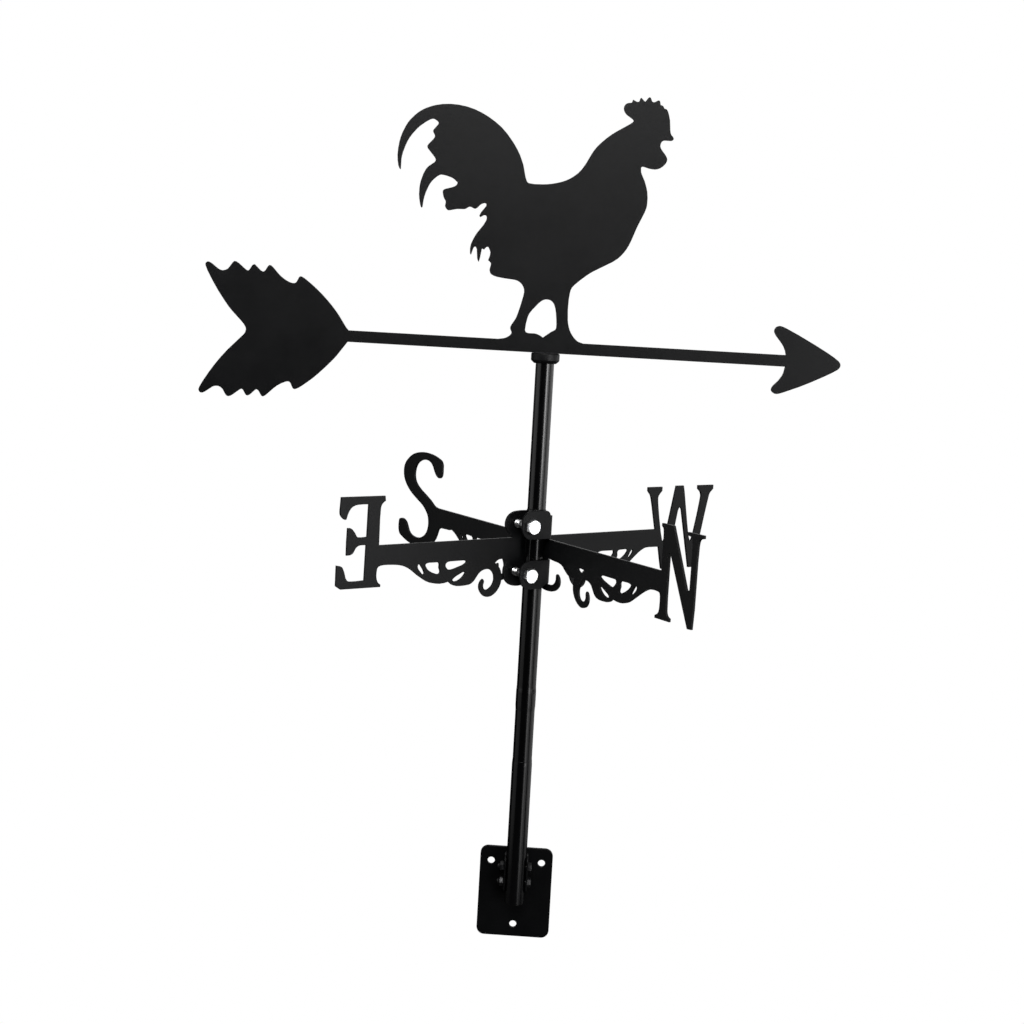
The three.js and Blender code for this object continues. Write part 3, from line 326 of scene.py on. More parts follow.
# ------------------------------------------------------------------ objects and meshes
def linked(name, data):
    """A new object in the scene."""
    o = bpy.data.objects.new(name, data)
    bpy.context.scene.collection.objects.link(o)
    return o


def new_piece(name, mesh, body, finish, node=None):
    """A finished piece that rides on a body and, if a CAD node is named, replaces it."""
    slot, material = finish
    o = linked(name, mesh)
    mesh.materials.clear()
    mesh.materials.append(material)
    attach(o, body)
    if node:
        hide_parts(node)
    return o


def refinish(o, finish):
    slot, material = finish
    o.data.materials[0] = material


def smooth(mesh, sharp_angle):
    for p in mesh.polygons:
        p.use_smooth = True
    mesh.set_sharp_from_angle(angle=math.radians(sharp_angle))


def smooth_mesh(bm, name, sharp_angle):
    bmesh.ops.recalc_face_normals(bm, faces=bm.faces)
    mesh = bpy.data.meshes.new(name)
    bm.to_mesh(mesh)
    bm.free()
    smooth(mesh, sharp_angle)
    return mesh


def welded_mesh(bm, name, sharp_angle):
    bmesh.ops.remove_doubles(bm, verts=bm.verts, dist=1e-7)
    return smooth_mesh(bm, name, sharp_angle)


def bake(blank, name):
    """The blank's mesh with its modifiers applied; the blank object is removed."""
    bpy.context.view_layer.update()
    depsgraph = bpy.context.evaluated_depsgraph_get()
    mesh = bpy.data.meshes.new_from_object(blank.evaluated_get(depsgraph))
    bpy.data.objects.remove(blank)
    mesh.name = name
    return mesh


def place(bm, matrix):
    bmesh.ops.transform(bm, matrix=matrix, verts=bm.verts)
    return bm


def aimed(origin, direction, twist=0.0):
    """A frame at origin with z along direction, turned about it by twist degrees."""
    turn = Vector(direction).to_track_quat("Z", "Y").to_matrix().to_4x4()
    return Matrix.Translation(Vector(origin)) @ turn @ Matrix.Rotation(math.radians(twist), 4, "Z")


def add_ring(bm, segments, point_at):
    """A ring of vertices round Z; point_at(angle) gives (radius, height) in mm."""
    ring = []
    for k in range(segments):
        angle = 2 * math.pi * k / segments
        r, z = point_at(angle)
        ring.append(bm.verts.new((r * MM * math.cos(angle), r * MM * math.sin(angle), z * MM)))
    return ring


def bridge(bm, rings, flip=False):
    """Faces between successive rings; corners that share a vertex make triangles or nothing."""
    for a, b in zip(rings, rings[1:]):
        for k in range(len(a)):
            after = (k + 1) % len(a)
            i, j = (after, k) if flip else (k, after)
            corners = list(dict.fromkeys((a[i], a[j], b[j], b[i])))
            if len(corners) > 2:
                bm.faces.new(corners)


# ------------------------------------------------------------------ turned pieces
CORNER_STEPS = 4


def rounded(profile):
    """The (x, y) outline of a closed profile of (x, y, corner radius) points."""
    out = []
    for i, (x, y, radius) in enumerate(profile):
        point = Vector((x, y))
        back = Vector(profile[i - 1][:2]) - point
        ahead = Vector(profile[(i + 1) % len(profile)][:2]) - point
        if radius <= 0 or back.length < 1e-9 or ahead.length < 1e-9:
            out.append((x, y))
            continue
        a, b = back.normalized(), ahead.normalized()
        half = math.acos(max(-1, min(1, a.dot(b)))) / 2
        if half > math.radians(89) or half < 1e-3:
            out.append((x, y))
            continue
        # the arc takes no more than 0.45 of either side
        reach = min(radius / math.tan(half), 0.45 * back.length, 0.45 * ahead.length)
        r = reach * math.tan(half)
        centre = point + (a + b).normalized() * (r / math.sin(half))
        start, end = point + a * reach - centre, point + b * reach - centre
        angle = math.atan2(start.y, start.x)
        sweep = math.atan2(end.y, end.x) - angle
        while sweep > math.pi:
            sweep -= 2 * math.pi
        while sweep < -math.pi:
            sweep += 2 * math.pi
        for k in range(CORNER_STEPS + 1):
            at = angle + sweep * k / CORNER_STEPS
            out.append((centre.x + r * math.cos(at), centre.y + r * math.sin(at)))
    return out


def lathe(profile, segments):
    """Turns a profile of (radius, height, corner radius) about Z; radius 0 meets on the axis."""
    bm = bmesh.new()
    rings = []
    for r, z in rounded(profile):
        if r < 1e-6:
            rings.append([bm.verts.new((0, 0, z * MM))] * segments)
        else:
            rings.append(add_ring(bm, segments, lambda angle: (r, z)))
    bridge(bm, rings + rings[:1])
    return bm


def turned(name, node, profile, body, finish, segments, frame=AT_POLE):
    bm = place(lathe(profile, segments), frame)
    return new_piece(name, welded_mesh(bm, name, 40), body, finish, node)


def cutter(name, centre, direction, radius, length):
    bm = bmesh.new()
    bmesh.ops.create_cone(bm, cap_ends=True, segments=48, radius1=radius * MM,
                          radius2=radius * MM, depth=length * MM)
    place(bm, aimed(centre, direction))
    mesh = bpy.data.meshes.new(name)
    bm.to_mesh(mesh)
    bm.free()
    return linked(name, mesh)


def round_normals(mesh, radius_at):
    """True round normals on a tube's walls, so that its holes leave no dents in reflections."""
    normals = [tuple(c.vector) for c in mesh.corner_normals]
    for p in mesh.polygons:
        if abs(p.normal.z) > (0.3 if radius_at else 0.02):
            continue
        middle = p.center - AXIS
        facing = p.normal.dot(Vector((middle.x, middle.y, 0)).normalized())
        if abs(facing) < 0.97:
            continue
        side = 1 if facing > 0 else -1
        for corner in p.loop_indices:
            at = mesh.vertices[mesh.loops[corner].vertex_index].co - AXIS
            normal = Vector((at.x, at.y, 0)).normalized() * side
            if radius_at and side > 0:
                z = at.z / MM
                normal.z = -(radius_at(z + 0.05) - radius_at(z - 0.05)) / 0.1
                normal.normalize()
            normals[corner] = tuple(normal)
    mesh.normals_split_custom_set(normals)


def tube(name, node, profile, cuts, segments=128, radius_at=None):
    """An enamelled tube round the pole's axis, with round holes cut through its wall.

    cuts are (centre, direction, radius, length); radius_at(z) is a shaped outside's radius.
    """
    blank_mesh = welded_mesh(place(lathe(profile, segments), AT_POLE), name, 32)
    blank = linked(name + "_blank", blank_mesh)
    tools = []
    for cut in cuts:
        tool = cutter(name + "_cut", *cut)
        modifier = blank.modifiers.new("cut", "BOOLEAN")
        modifier.operation = "DIFFERENCE"
        modifier.solver = "EXACT"
        modifier.object = tool
        tools.append(tool)
    mesh = bake(blank, name)
    for tool in tools:
        bpy.data.objects.remove(tool)
    smooth(mesh, 32)
    round_normals(mesh, radius_at)
    return new_piece(name, mesh, "root", ENAMEL, node)


# ------------------------------------------------------------------ sheet outlines
def flat_loops(node, to_local, direction, level):
    """Outlines, as local points, of a CAD node's flat face along direction at a level."""
    mesh = nodes[node].data
    index_of, points, merged = {}, [], []
    for v in mesh.vertices:
        point = to_local @ v.co
        key = tuple(round(c * 1e6) for c in point)
        if key not in index_of:
            index_of[key] = len(points)
            points.append(point)
        merged.append(index_of[key])

    edges = {}
    facing = Vector(direction)
    for p in mesh.polygons:
        c = [merged[i] for i in p.vertices]
        if len(set(c)) < 3 or any(abs(points[i].dot(facing) - level) > 2e-5 for i in c):
            continue
        normal = (points[c[1]] - points[c[0]]).cross(points[c[2]] - points[c[0]])
        if normal.dot(facing) < 0:
            c = c[::-1]
        for edge in zip(c, c[1:] + c[:1]):
            edges[edge] = True

    # an edge with no opposite partner is on the border
    following = {}
    for a, b in edges:
        if (b, a) not in edges:
            following.setdefault(a, []).append(b)
    loops = []
    while following:
        start = next(iter(following))
        loop, at = [], start
        while at in following:
            loop.append(at)
            after = following[at].pop()
            if not following[at]:
                del following[at]
            at = after
            if at == start:
                break
        loops.append([points[i] for i in loop])
    return loops


def signed_area(loop):
    return sum(a[0] * b[1] - b[0] * a[1] for a, b in zip(loop, loop[1:] + loop[:1])) / 2


def tab_of(point):
    return point[2] if len(point) > 2 else 0


def without_straight(loop):
    """Drops points on a straight run, except where a tab's points begin or end."""
    out = []
    for i, point in enumerate(loop):
        before, after = loop[i - 1], loop[(i + 1) % len(loop)]
        a, p, b = (Vector(q[:2]) for q in (before, point, after))
        tab = tab_of(point)
        along = b - a
        if (tab != tab_of(before) or tab != tab_of(after) or along.length < 1e-9
                or abs((p - a).cross(along)) / along.length > 2e-6 or (p - a).dot(b - p) < 0):
            out.append((p.x, p.y, tab))
    return out


# ------------------------------------------------------------------ sheets with rounded edges
def inset_plan(points, radius):
    """For each outline point, its inward direction and how wide an edge round it can take."""
    n = len(points)
    along = [(points[(i + 1) % n] - points[i]).normalized() for i in range(n)]
    inward = []
    for i in range(n):
        a, b = along[i - 1], along[i]
        normal_a, normal_b = Vector((-a.y, a.x)), Vector((-b.y, b.x))
        mitre = normal_a + normal_b
        mitre = mitre.normalized() if mitre.length > 1e-6 else normal_a
        inward.append(mitre / max(mitre.dot(normal_b), 0.22))
    widths = [radius] * n
    for _ in range(60):                     # narrow the round until no inset side turns back
        turns_back = False
        for i in range(n):
            j = (i + 1) % n
            length = (points[j] - points[i]).length
            side = (points[j] + inward[j] * widths[j]) - (points[i] + inward[i] * widths[i])
            if side.dot(along[i]) < 0.25 * length:
                turns_back = True
                widths[i] *= 0.85
                widths[j] *= 0.85
        if not turns_back:
            break
    widths = [min(widths[i], 1.6 * widths[i - 1], 1.6 * widths[(i + 1) % n]) for i in range(n)]
    return inward, widths


def cap_group(low, high, tabs, tab):
    """The part of an outline's low and high cap rings that bounds one tab, or None."""
    n = len(tabs)
    if tab not in tabs:
        return None
    if all(t == tab for t in tabs):
        ids = range(n)
    elif tab == 0:
        ids = [i for i in range(n) if tabs[i] == 0]
    else:
        # the tab's run of points and one plate point at each end
        start = next(i for i in range(n) if tabs[i] == tab and tabs[i - 1] != tab)
        ids = [(start - 1) % n]
        while tabs[(ids[-1] + 1) % n] == tab:
            ids.append((ids[-1] + 1) % n)
        ids.append((ids[-1] + 1) % n)
    return [low[i] for i in ids], [high[i] for i in ids]


def fill_caps(bm, groups):
    """Fills the low and high faces bounded by groups of (low ring, high ring)."""
    points, edges = [], []
    for low, _ in groups:
        start = len(points)
        points += [Vector((v.co.x, v.co.y)) for v in low]
        edges += [(start + i, start + (i + 1) % len(low)) for i in range(len(low))]
    filled, _, faces, sources, _, _ = delaunay_2d_cdt(points, edges, [], 0, 1e-9)
    outlines = [[(v.co.x, v.co.y) for v in low] for low, _ in groups]

    def inside(x, y):
        odd = False
        for line in outlines:
            for (x0, y0), (x1, y1) in zip(line, line[1:] + line[:1]):
                if (y0 > y) != (y1 > y) and x < (x1 - x0) * (y - y0) / (y1 - y0) + x0:
                    odd = not odd
        return odd

    all_low = [v for low, _ in groups for v in low]
    all_high = [v for _, high in groups for v in high]
    for face in faces:
        centre = sum((filled[i] for i in face), Vector((0, 0))) / len(face)
        if not inside(centre.x, centre.y):
            continue
        ids = [sources[i][0] if sources[i] else None for i in face]
        if None in ids:
            raise RuntimeError("an outline crosses itself when it is inset, near %.1f, %.1f mm"
                               % (centre.x * 1e3, centre.y * 1e3))
        a = filled[face[1]] - filled[face[0]]
        b = filled[face[2]] - filled[face[0]]
        if a.x * b.y - a.y * b.x < 0:
            ids = ids[::-1]
        bm.faces.new([all_high[i] for i in ids])
        bm.faces.new([all_low[i] for i in reversed(ids)])


def sheet_mesh(loops, bottom, top, radius, steps=3):
    """A sheet in x, y between two heights, its edges rounded in steps. All in metres.

    A point's third value is its tab's number, 0 for the plate. A tab may lie over the plate
    in the flat, so each is filled on its own. Vertices carry the number in the layer "tab".
    """
    loops = [without_straight(loop) for loop in loops]
    loops.sort(key=lambda loop: -abs(signed_area(loop)))
    # the largest is the outside and runs anticlockwise, holes run clockwise
    loops = [loop if (signed_area(loop) > 0) == (i == 0) else loop[::-1]
             for i, loop in enumerate(loops)]
    bm = bmesh.new()
    tab_layer = bm.verts.layers.float.new("tab")
    caps = []
    for loop in loops:
        points = [Vector(p[:2]) for p in loop]
        tabs = [p[2] for p in loop]
        inward, widths = inset_plan(points, radius)
        halves = []
        for upper in (False, True):
            rings = []
            for k in range(steps + 1):
                angle = k / steps * math.pi / 2
                ring = []
                for point, into, width, tab in zip(points, inward, widths, tabs):
                    q = point + into * (width * (1 - math.cos(angle)))
                    h = width * (1 - math.sin(angle))
                    v = bm.verts.new((q.x, q.y, top - h if upper else bottom + h))
                    v[tab_layer] = float(tab)
                    ring.append(v)
                rings.append(ring)
            halves.append(rings)
        order = halves[0][::-1] + halves[1]
        bridge(bm, order)
        caps.append((order[0], order[-1], tabs))

    for tab in sorted({t for cap in caps for t in cap[2]}):
        groups = [cap_group(*cap, tab) for cap in caps]
        fill_caps(bm, [group for group in groups if group])
    return bm


def sheet_piece(name, bm, frame, body, finish, node):
    blank = linked(name + "_blank", smooth_mesh(place(bm, frame), name, 33))
    weighted = blank.modifiers.new("face_weighted", "WEIGHTED_NORMAL")
    weighted.mode = "FACE_AREA"
    weighted.weight = 80
    weighted.keep_sharp = True
    return new_piece(name, bake(blank, name), body, finish, node)


def standing_sheet(name, node, box, body, finish, edge, steps=3, frame=Matrix.Identity(4)):
    """A flat plate that faces along the frame's y; box is its (low, high) in that frame."""
    front, back = box[0].y, box[1].y
    loops = flat_loops(node, frame.inverted(), (0, -1, 0), -front)
    bm = sheet_mesh([[(p.x, p.z) for p in loop] for loop in loops], -back, -front, edge, steps)
    sheet_piece(name, bm, frame @ STANDING, body, finish, node)


# ------------------------------------------------------------------ vane and compass sheets
def hub_frame():
    """The compass's own frame: +x along W and -y along N, from the E-W plate's broad face."""
    upright = [p for p in nodes["compass_plate_ew"].data.polygons if abs(p.normal.z) < 0.01]
    normal = max(upright, key=lambda p: p.area).normal.copy()
    if normal.y < 0:
        normal = -normal
    return AT_POLE @ Matrix.Rotation(math.atan2(-normal.x, normal.y), 4, "Z")


HUB = hub_frame()
HUB_INVERSE = HUB.inverted()


def hub_box(node):
    """A CAD node's low and high corners in the compass's frame."""
    points = [HUB_INVERSE @ v.co for v in nodes[node].data.vertices]
    return Vector([min(c) for c in zip(*points)]), Vector([max(c) for c in zip(*points)])


EDGE_ROUND = 0.30 * MM
standing_sheet("vane_sheet", "vane_plate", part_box("vane_plate"), "vane", COAT, EDGE_ROUND)
standing_sheet("compass_sheet_ew", "compass_plate_ew", hub_box("compass_plate_ew"),
               "compass", COAT, EDGE_ROUND, frame=HUB)

# The N-S plate has two clamp tabs, each folded a quarter turn round the pole. It is made flat,
# with x towards N and the tabs unfolded beyond the fold, and then bent.
NS_SHEET = 0.0025
NS_INNER_RADIUS = 0.0015
NS_FOLD_STEPS = 10
TAB_MIDDLE_X, TAB_REACH = -0.0136, 0.0125   # the tabs' place along the hub's x, either side

ns_face = hub_box("compass_plate_ns")[1].x
tab_level = max(-p.y for p in (HUB_INVERSE @ v.co for v in nodes["compass_plate_ns"].data.vertices)
                if abs(p.x - TAB_MIDDLE_X) < TAB_REACH)
# the fold's centre is at the same distance from the pole in both directions
ns_fold = tab_level - NS_SHEET - NS_INNER_RADIUS
ns_fold_length = math.pi / 2 * (NS_INNER_RADIUS + NS_SHEET / 2)


def longest_side_at(loop, x):
    """Index of the first point of the longest upright side at x, or None."""
    def height(i):
        return abs(loop[i][1] - loop[(i + 1) % len(loop)][1])

    sides = [i for i in range(len(loop))
             if abs(loop[i][0] - x) < 2e-5
             and abs(loop[(i + 1) % len(loop)][0] - x) < 2e-5 and height(i) > 0.01]
    return max(sides, key=height, default=None)


def join_tab(outer, tab):
    """The plate's outline with a tab let into the side that shares its fold line."""
    heights = sorted((tab[0][1], tab[-1][1]))
    for k, (a, b) in enumerate(zip(outer, outer[1:] + outer[:1])):
        if abs(a[0] - ns_fold) < 2e-5 and abs(b[0] - ns_fold) < 2e-5:
            side = sorted((a[1], b[1]))
            if abs(side[0] - heights[0]) < 1e-3 and abs(side[1] - heights[1]) < 1e-3:
                if abs(tab[0][1] - a[1]) > abs(tab[-1][1] - a[1]):
                    tab = tab[::-1]
                return outer[:k + 1] + tab + outer[k + 1:]
    raise RuntimeError("a clamp tab has no fold line on its plate")


def ns_pattern():
    """The N-S plate's flat pattern; the upper tab is tab 1 and the lower one tab 2."""
    web = [[(-p.y, p.z) for p in loop]
           for loop in flat_loops("compass_plate_ns", HUB_INVERSE, (1, 0, 0), ns_face)]
    web.sort(key=lambda loop: -abs(signed_area(loop)))
    outer, holes = web[0], web[1:]
    if signed_area(outer) < 0:
        outer = outer[::-1]
    between = (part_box("compass_bolt_upper")[0].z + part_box("compass_bolt_lower")[1].z) / 2
    for loop in flat_loops("compass_plate_ns", HUB_INVERSE, (0, -1, 0), tab_level):
        number = 1 if loop[0].z > between else 2
        side = longest_side_at([(p.x, p.z) for p in loop], ns_fold)
        flat = [(ns_fold + ns_fold_length + ns_fold - p.x, p.z, number) for p in loop]
        if side is None:
            holes.append(flat)
        else:
            # from the fold line all the way round back to it
            outer = join_tab(outer, flat[side + 1:] + flat[:side + 1])
    return [outer] + holes


def bend_tabs(bm):
    tab_layer = bm.verts.layers.float["tab"]
    for k in range(1, NS_FOLD_STEPS + 1):
        faces = [f for f in bm.faces if max(v[tab_layer] for v in f.verts) > 1e-4]
        verts = list({v for f in faces for v in f.verts})
        edges = list({e for f in faces for e in f.edges})
        bmesh.ops.bisect_plane(
            bm, geom=verts + edges + faces, dist=1e-7,
            plane_co=(ns_fold + ns_fold_length * k / NS_FOLD_STEPS, 0, 0), plane_no=(1, 0, 0))
    for v in bm.verts:
        along, z, across = v.co
        r = across - ns_fold
        if along <= ns_fold or v[tab_layer] < 1e-4:
            v.co = (across, -along, z)
        elif along <= ns_fold + ns_fold_length:
            angle = (along - ns_fold) / ns_fold_length * math.pi / 2
            v.co = (ns_fold + r * math.cos(angle), -ns_fold - r * math.sin(angle), z)
        else:
            v.co = (ns_fold - (along - ns_fold - ns_fold_length), -ns_fold - r, z)


ns_sheet = sheet_mesh(ns_pattern(), ns_face - NS_SHEET, ns_face, EDGE_ROUND)
bend_tabs(ns_sheet)
sheet_piece("compass_sheet_ns", ns_sheet, HUB, "compass", COAT, "compass_plate_ns")


# ------------------------------------------------------------------ wall plate and bracket
# the wall plate takes the darkened copy of the coat, painted shade
standing_sheet("wall_plate", "base_plate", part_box("base_plate"), "root", SHADED_WALL_COAT,
               edge=0.45 * MM, steps=4)


def middle_z(node):
    lo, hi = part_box(node)
    return (lo.z + hi.z) / 2


BRACKET_SHEET = 1.5 * MM
BRACKET_INNER_RADIUS = 1.9 * MM
BRACKET_CORNER = 5.5 * MM
BRACKET_EDGE = 0.35 * MM
BRACKET_FOLD_STEPS = 8
FOOT_HOLE = 2.7                             # mm, radius of the foot bolts' holes

foot_bolt_z = [middle_z("bracket_bolt_upper"), middle_z("bracket_bolt_lower")]
bracket_low, bracket_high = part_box("pole_bracket")


def channel_bracket():
    """A channel open to the front: cut flat, x across and y up, then folded at both cheeks."""
    lo, hi = bracket_low, bracket_high
    fold_x = hi.x - BRACKET_SHEET - BRACKET_INNER_RADIUS
    fold_y = hi.y - BRACKET_SHEET - BRACKET_INNER_RADIUS
    fold_length = math.pi / 2 * (BRACKET_INNER_RADIUS + BRACKET_SHEET / 2)
    end = fold_x + fold_length + (fold_y - lo.y)
    corner = BRACKET_CORNER

    def cheek_end(side):
        points = []
        for centre_z, angles in ((hi.z - corner, range(0, 91, 10)),
                                 (lo.z + corner, range(90, 181, 10))):
            for angle in map(math.radians, angles):
                points.append((side * (end - corner + corner * math.sin(angle)),
                               centre_z + corner * math.cos(angle)))
        return points

    hole_x = fold_x + fold_length + (fold_y - AXIS.y)
    hole = FOOT_HOLE * MM
    holes = [[(side * hole_x + hole * math.cos(k * math.pi / 18),
               z + hole * math.sin(k * math.pi / 18)) for k in range(36)]
             for z in foot_bolt_z for side in (-1, 1)]
    pattern = cheek_end(1) + cheek_end(-1)[::-1]
    bm = sheet_mesh([pattern] + holes, 0.0, BRACKET_SHEET, BRACKET_EDGE)
    for side in (-1, 1):
        for k in range(BRACKET_FOLD_STEPS + 1):
            plane_x = side * (fold_x + fold_length * k / BRACKET_FOLD_STEPS)
            bmesh.ops.bisect_plane(bm, geom=bm.verts[:] + bm.edges[:] + bm.faces[:], dist=1e-7,
                                   plane_co=(plane_x, 0, 0), plane_no=(1, 0, 0))
    for v in bm.verts:
        across, z, depth = v.co             # depth is 0 on the channel's outside
        side = 1 if across >= 0 else -1
        along = abs(across)
        r = BRACKET_INNER_RADIUS + BRACKET_SHEET - depth
        if along <= fold_x:
            v.co = (across, hi.y - depth, z)
        elif along <= fold_x + fold_length:
            angle = (along - fold_x) / fold_length * math.pi / 2
            v.co = (side * (fold_x + r * math.sin(angle)), fold_y + r * math.cos(angle), z)
        else:
            v.co = (side * (fold_x + r), fold_y - (along - fold_x - fold_length), z)
    # the bracket takes the darkened copy of the coat, painted shade
    sheet_piece("channel_bracket", bm, Matrix.Identity(4), "root", SHADED_WALL_COAT, "pole_bracket")


channel_bracket()


# ------------------------------------------------------------------ pole tubes
def span(node):
    """A CAD node's bottom and top, in mm."""
    lo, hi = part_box(node)
    return lo.z / MM, hi.z / MM


def half_width(node):
    """Half a CAD node's extent along x, in mm."""
    lo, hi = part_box(node)
    return (hi.x / MM - lo.x / MM) / 2


def centre(node):
    lo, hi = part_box(node)
    return (lo + hi) / 2


LOWER_BORE = 8.2
MIDDLE_BORE, MIDDLE_RADIUS = 8.0, 9.2
UPPER_BORE, SPIGOT_BORE = 7.5, 6.65
LINER_BORE = 6.25
LINER_RADIUS = 7.85                         # the joint's liner and the upper tube's spigot
SEAM = 0.05                                 # gap under a shoulder that sits on a tube's end
SCREW_HOLE = 2.65
PIN_HOLE = 1.6
MOUTH = 5.0                                 # length over which the lower tube's top draws in
MOUTH_STEP = 0.16                           # how far its rim stays outside the middle tube
SWELL = 0.33                                # how far the middle tube swells outward
SWELL_Z = (182.0, 188.5, 200.0, 206.5)      # where the swell starts, is full, ends, is gone

lower_radius, upper_radius = half_width("lower_tube"), half_width("upper_tube")
lower_bottom, lower_top = span("lower_tube")
middle_bottom, middle_top = span("middle_tube")
upper_bottom, upper_top = span("upper_tube")
screw_upper, screw_lower = centre("joint_screw_upper"), centre("joint_screw_lower")
pin_z = middle_z("plug_pin")


def screw_cut(point):
    """A hole through one wall of the pole, at a joint screw."""
    out = Vector((point.x - AXIS.x, point.y - AXIS.y, 0)).normalized()
    middle = (AXIS.x + out.x * 9 * MM, AXIS.y + out.y * 9 * MM, point.z)
    return middle, tuple(out), SCREW_HOLE, 9


def through_cut(z, radius):
    """A hole right through the pole along x."""
    return (0, AXIS.y, z), (1, 0, 0), radius, 30


def ease(t):
    t = max(0.0, min(1.0, t))
    return t * t * (3 - 2 * t)


def lower_radius_at(z):
    return lower_radius - (lower_radius - MIDDLE_RADIUS - MOUTH_STEP) * ease(
        (z - (lower_top - MOUTH)) / MOUTH)


def middle_radius_at(z):
    start, full, end, gone = SWELL_Z
    return MIDDLE_RADIUS + SWELL * ease((z - start) / (full - start)) * (
        1 - ease((z - end) / (gone - end)))


# profiles from here on: radius, height, corner radius
mouth_z = [lower_top - MOUTH + MOUTH * k / 12 for k in range(13)]
tube("pole_lower", "lower_tube",
     [(LOWER_BORE, lower_bottom, 0.3), (lower_radius, lower_bottom, 0.45)]
     + [(lower_radius_at(z), z, 0) for z in mouth_z[:-1]]
     + [(lower_radius_at(mouth_z[-1]), mouth_z[-1], 0.15), (LOWER_BORE, lower_top, 0.3)],
     [through_cut(z, FOOT_HOLE) for z in foot_bolt_z] + [screw_cut(screw_lower)],
     radius_at=lower_radius_at)

swell_z = [SWELL_Z[0] + (SWELL_Z[3] - SWELL_Z[0]) * k / 36 for k in range(37)]
tube("pole_middle", "middle_tube",
     [(MIDDLE_BORE, middle_bottom, 0.3), (MIDDLE_RADIUS, middle_bottom, 0.1)]
     + [(middle_radius_at(z), z, 0) for z in swell_z]
     + [(MIDDLE_RADIUS, middle_top, 0.55), (MIDDLE_BORE, middle_top, 0.3)],
     [screw_cut(screw_upper)], radius_at=middle_radius_at)

tube("pole_upper", "upper_tube",
     [(SPIGOT_BORE, upper_bottom, 0.3), (LINER_RADIUS, upper_bottom, 0.6),
      (LINER_RADIUS, middle_top + SEAM, 0.1), (upper_radius, middle_top + SEAM, 0.45),
      (upper_radius, upper_top, 0.6), (UPPER_BORE, upper_top, 0.3),
      (UPPER_BORE, middle_top + 3.0, 0.3), (SPIGOT_BORE, middle_top + 1.2, 0.3)],
     [through_cut(pin_z, PIN_HOLE)])

bottom, top = span("joint_sleeve")
liner = tube("joint_liner", "joint_sleeve",
             [(LINER_BORE, bottom, 0.35), (LINER_RADIUS, bottom, 0.35),
              (LINER_RADIUS, top, 0.35), (LINER_BORE, top, 0.35)],
             [screw_cut(screw_upper), screw_cut(screw_lower)], segments=96)
refinish(liner, STEEL)


# ------------------------------------------------------------------ bearing pieces in the pole
SPINDLE_RADIUS = 4.0
SPINDLE_GROOVE = 3.75
SOCKET_BORE, SOCKET_RECESS = 4.05, 9.3
BUSH_BORE, BUSH_COLLAR = 4.1, 8.6
PLUG_RADIUS, PLUG_TIP = 7.45, 7.0           # bushes and ball seat, and their chamfered ends
PLUG_CHAMFER = 0.8
PIN_RADIUS = 1.5

# the cup under the arrow's shaft, open below, with a chamfered foot
socket_bottom, socket_top = span("vane_socket")
socket_radius = half_width("vane_socket")
turned("socket_cup", "vane_socket",
       [(SOCKET_BORE, socket_bottom + 6.7, 0.2), (SOCKET_RECESS, socket_bottom + 6.7, 0.9),
        (SOCKET_RECESS, socket_bottom, 0.4), (10.4, socket_bottom, 0.5),
        (socket_radius - 0.5, socket_bottom + 2.3, 0.9),
        (socket_radius, socket_bottom + 3.2, 0.9), (socket_radius, socket_top - 0.8, 0.5),
        (socket_radius - 0.8, socket_top, 0.5), (SOCKET_BORE, socket_top, 0.2)],
       "vane", COAT, segments=128)

bottom, top = span("vane_spindle")
turned("spindle", "vane_spindle",
       [(0, bottom, 0), (2.2, bottom, 0.5), (SPINDLE_RADIUS, bottom + 1.3, 0.5),
        (SPINDLE_RADIUS, top - 5.0, 0.1), (SPINDLE_GROOVE, top - 4.6, 0.1),
        (SPINDLE_GROOVE, top - 3.9, 0.1), (SPINDLE_RADIUS, top - 3.5, 0.1),
        (SPINDLE_RADIUS, top - 0.7, 0.2), (3.3, top, 0.2), (0, top, 0)],
       "vane", STEEL, segments=64)

bottom, top = span("upper_bush")
turned("top_bush", "upper_bush",
       [(BUSH_BORE, bottom, 0.4), (PLUG_TIP, bottom, 0.3),
        (PLUG_RADIUS, bottom + PLUG_CHAMFER, 0.3), (PLUG_RADIUS, upper_top + SEAM, 0.1),
        (BUSH_COLLAR, upper_top + SEAM, 0.3), (BUSH_COLLAR, top, 0.4), (BUSH_BORE, top, 0.4)],
       "root", NYLON, segments=80)

bottom, top = span("lower_bush")
turned("bottom_bush", "lower_bush",
       [(BUSH_BORE, bottom, 0.4), (PLUG_TIP, bottom, 0.3),
        (PLUG_RADIUS, bottom + PLUG_CHAMFER, 0.3), (PLUG_RADIUS, top - PLUG_CHAMFER, 0.3),
        (PLUG_TIP, top, 0.3), (BUSH_BORE, top, 0.4)],
       "root", NYLON, segments=80)

bottom, top = span("thrust_ball")
ball_radius, ball_z = (top - bottom) / 2, (top + bottom) / 2
turned("bearing_ball", "thrust_ball",
       [(0, ball_z - ball_radius, 0)]
       + [(ball_radius * math.sin(math.pi * i / 28),
           ball_z - ball_radius * math.cos(math.pi * i / 28), 0) for i in range(1, 28)]
       + [(0, ball_z + ball_radius, 0)],
       "root", STEEL, segments=56)

# a plug with a dished top under the ball
bottom, top = span("thrust_plug")
seat = tube("ball_seat", "thrust_plug",
            [(0, bottom, 0), (PLUG_TIP, bottom, 0.3), (PLUG_RADIUS, bottom + PLUG_CHAMFER, 0.3),
             (PLUG_RADIUS, top - 0.6, 0.3), (PLUG_TIP, top, 0.3), (4.6, top, 0.4),
             (1.2, top - 2.8, 0.3), (0, top - 2.8, 0)],
            [through_cut(pin_z, PIN_HOLE)], segments=80)
refinish(seat, NYLON)

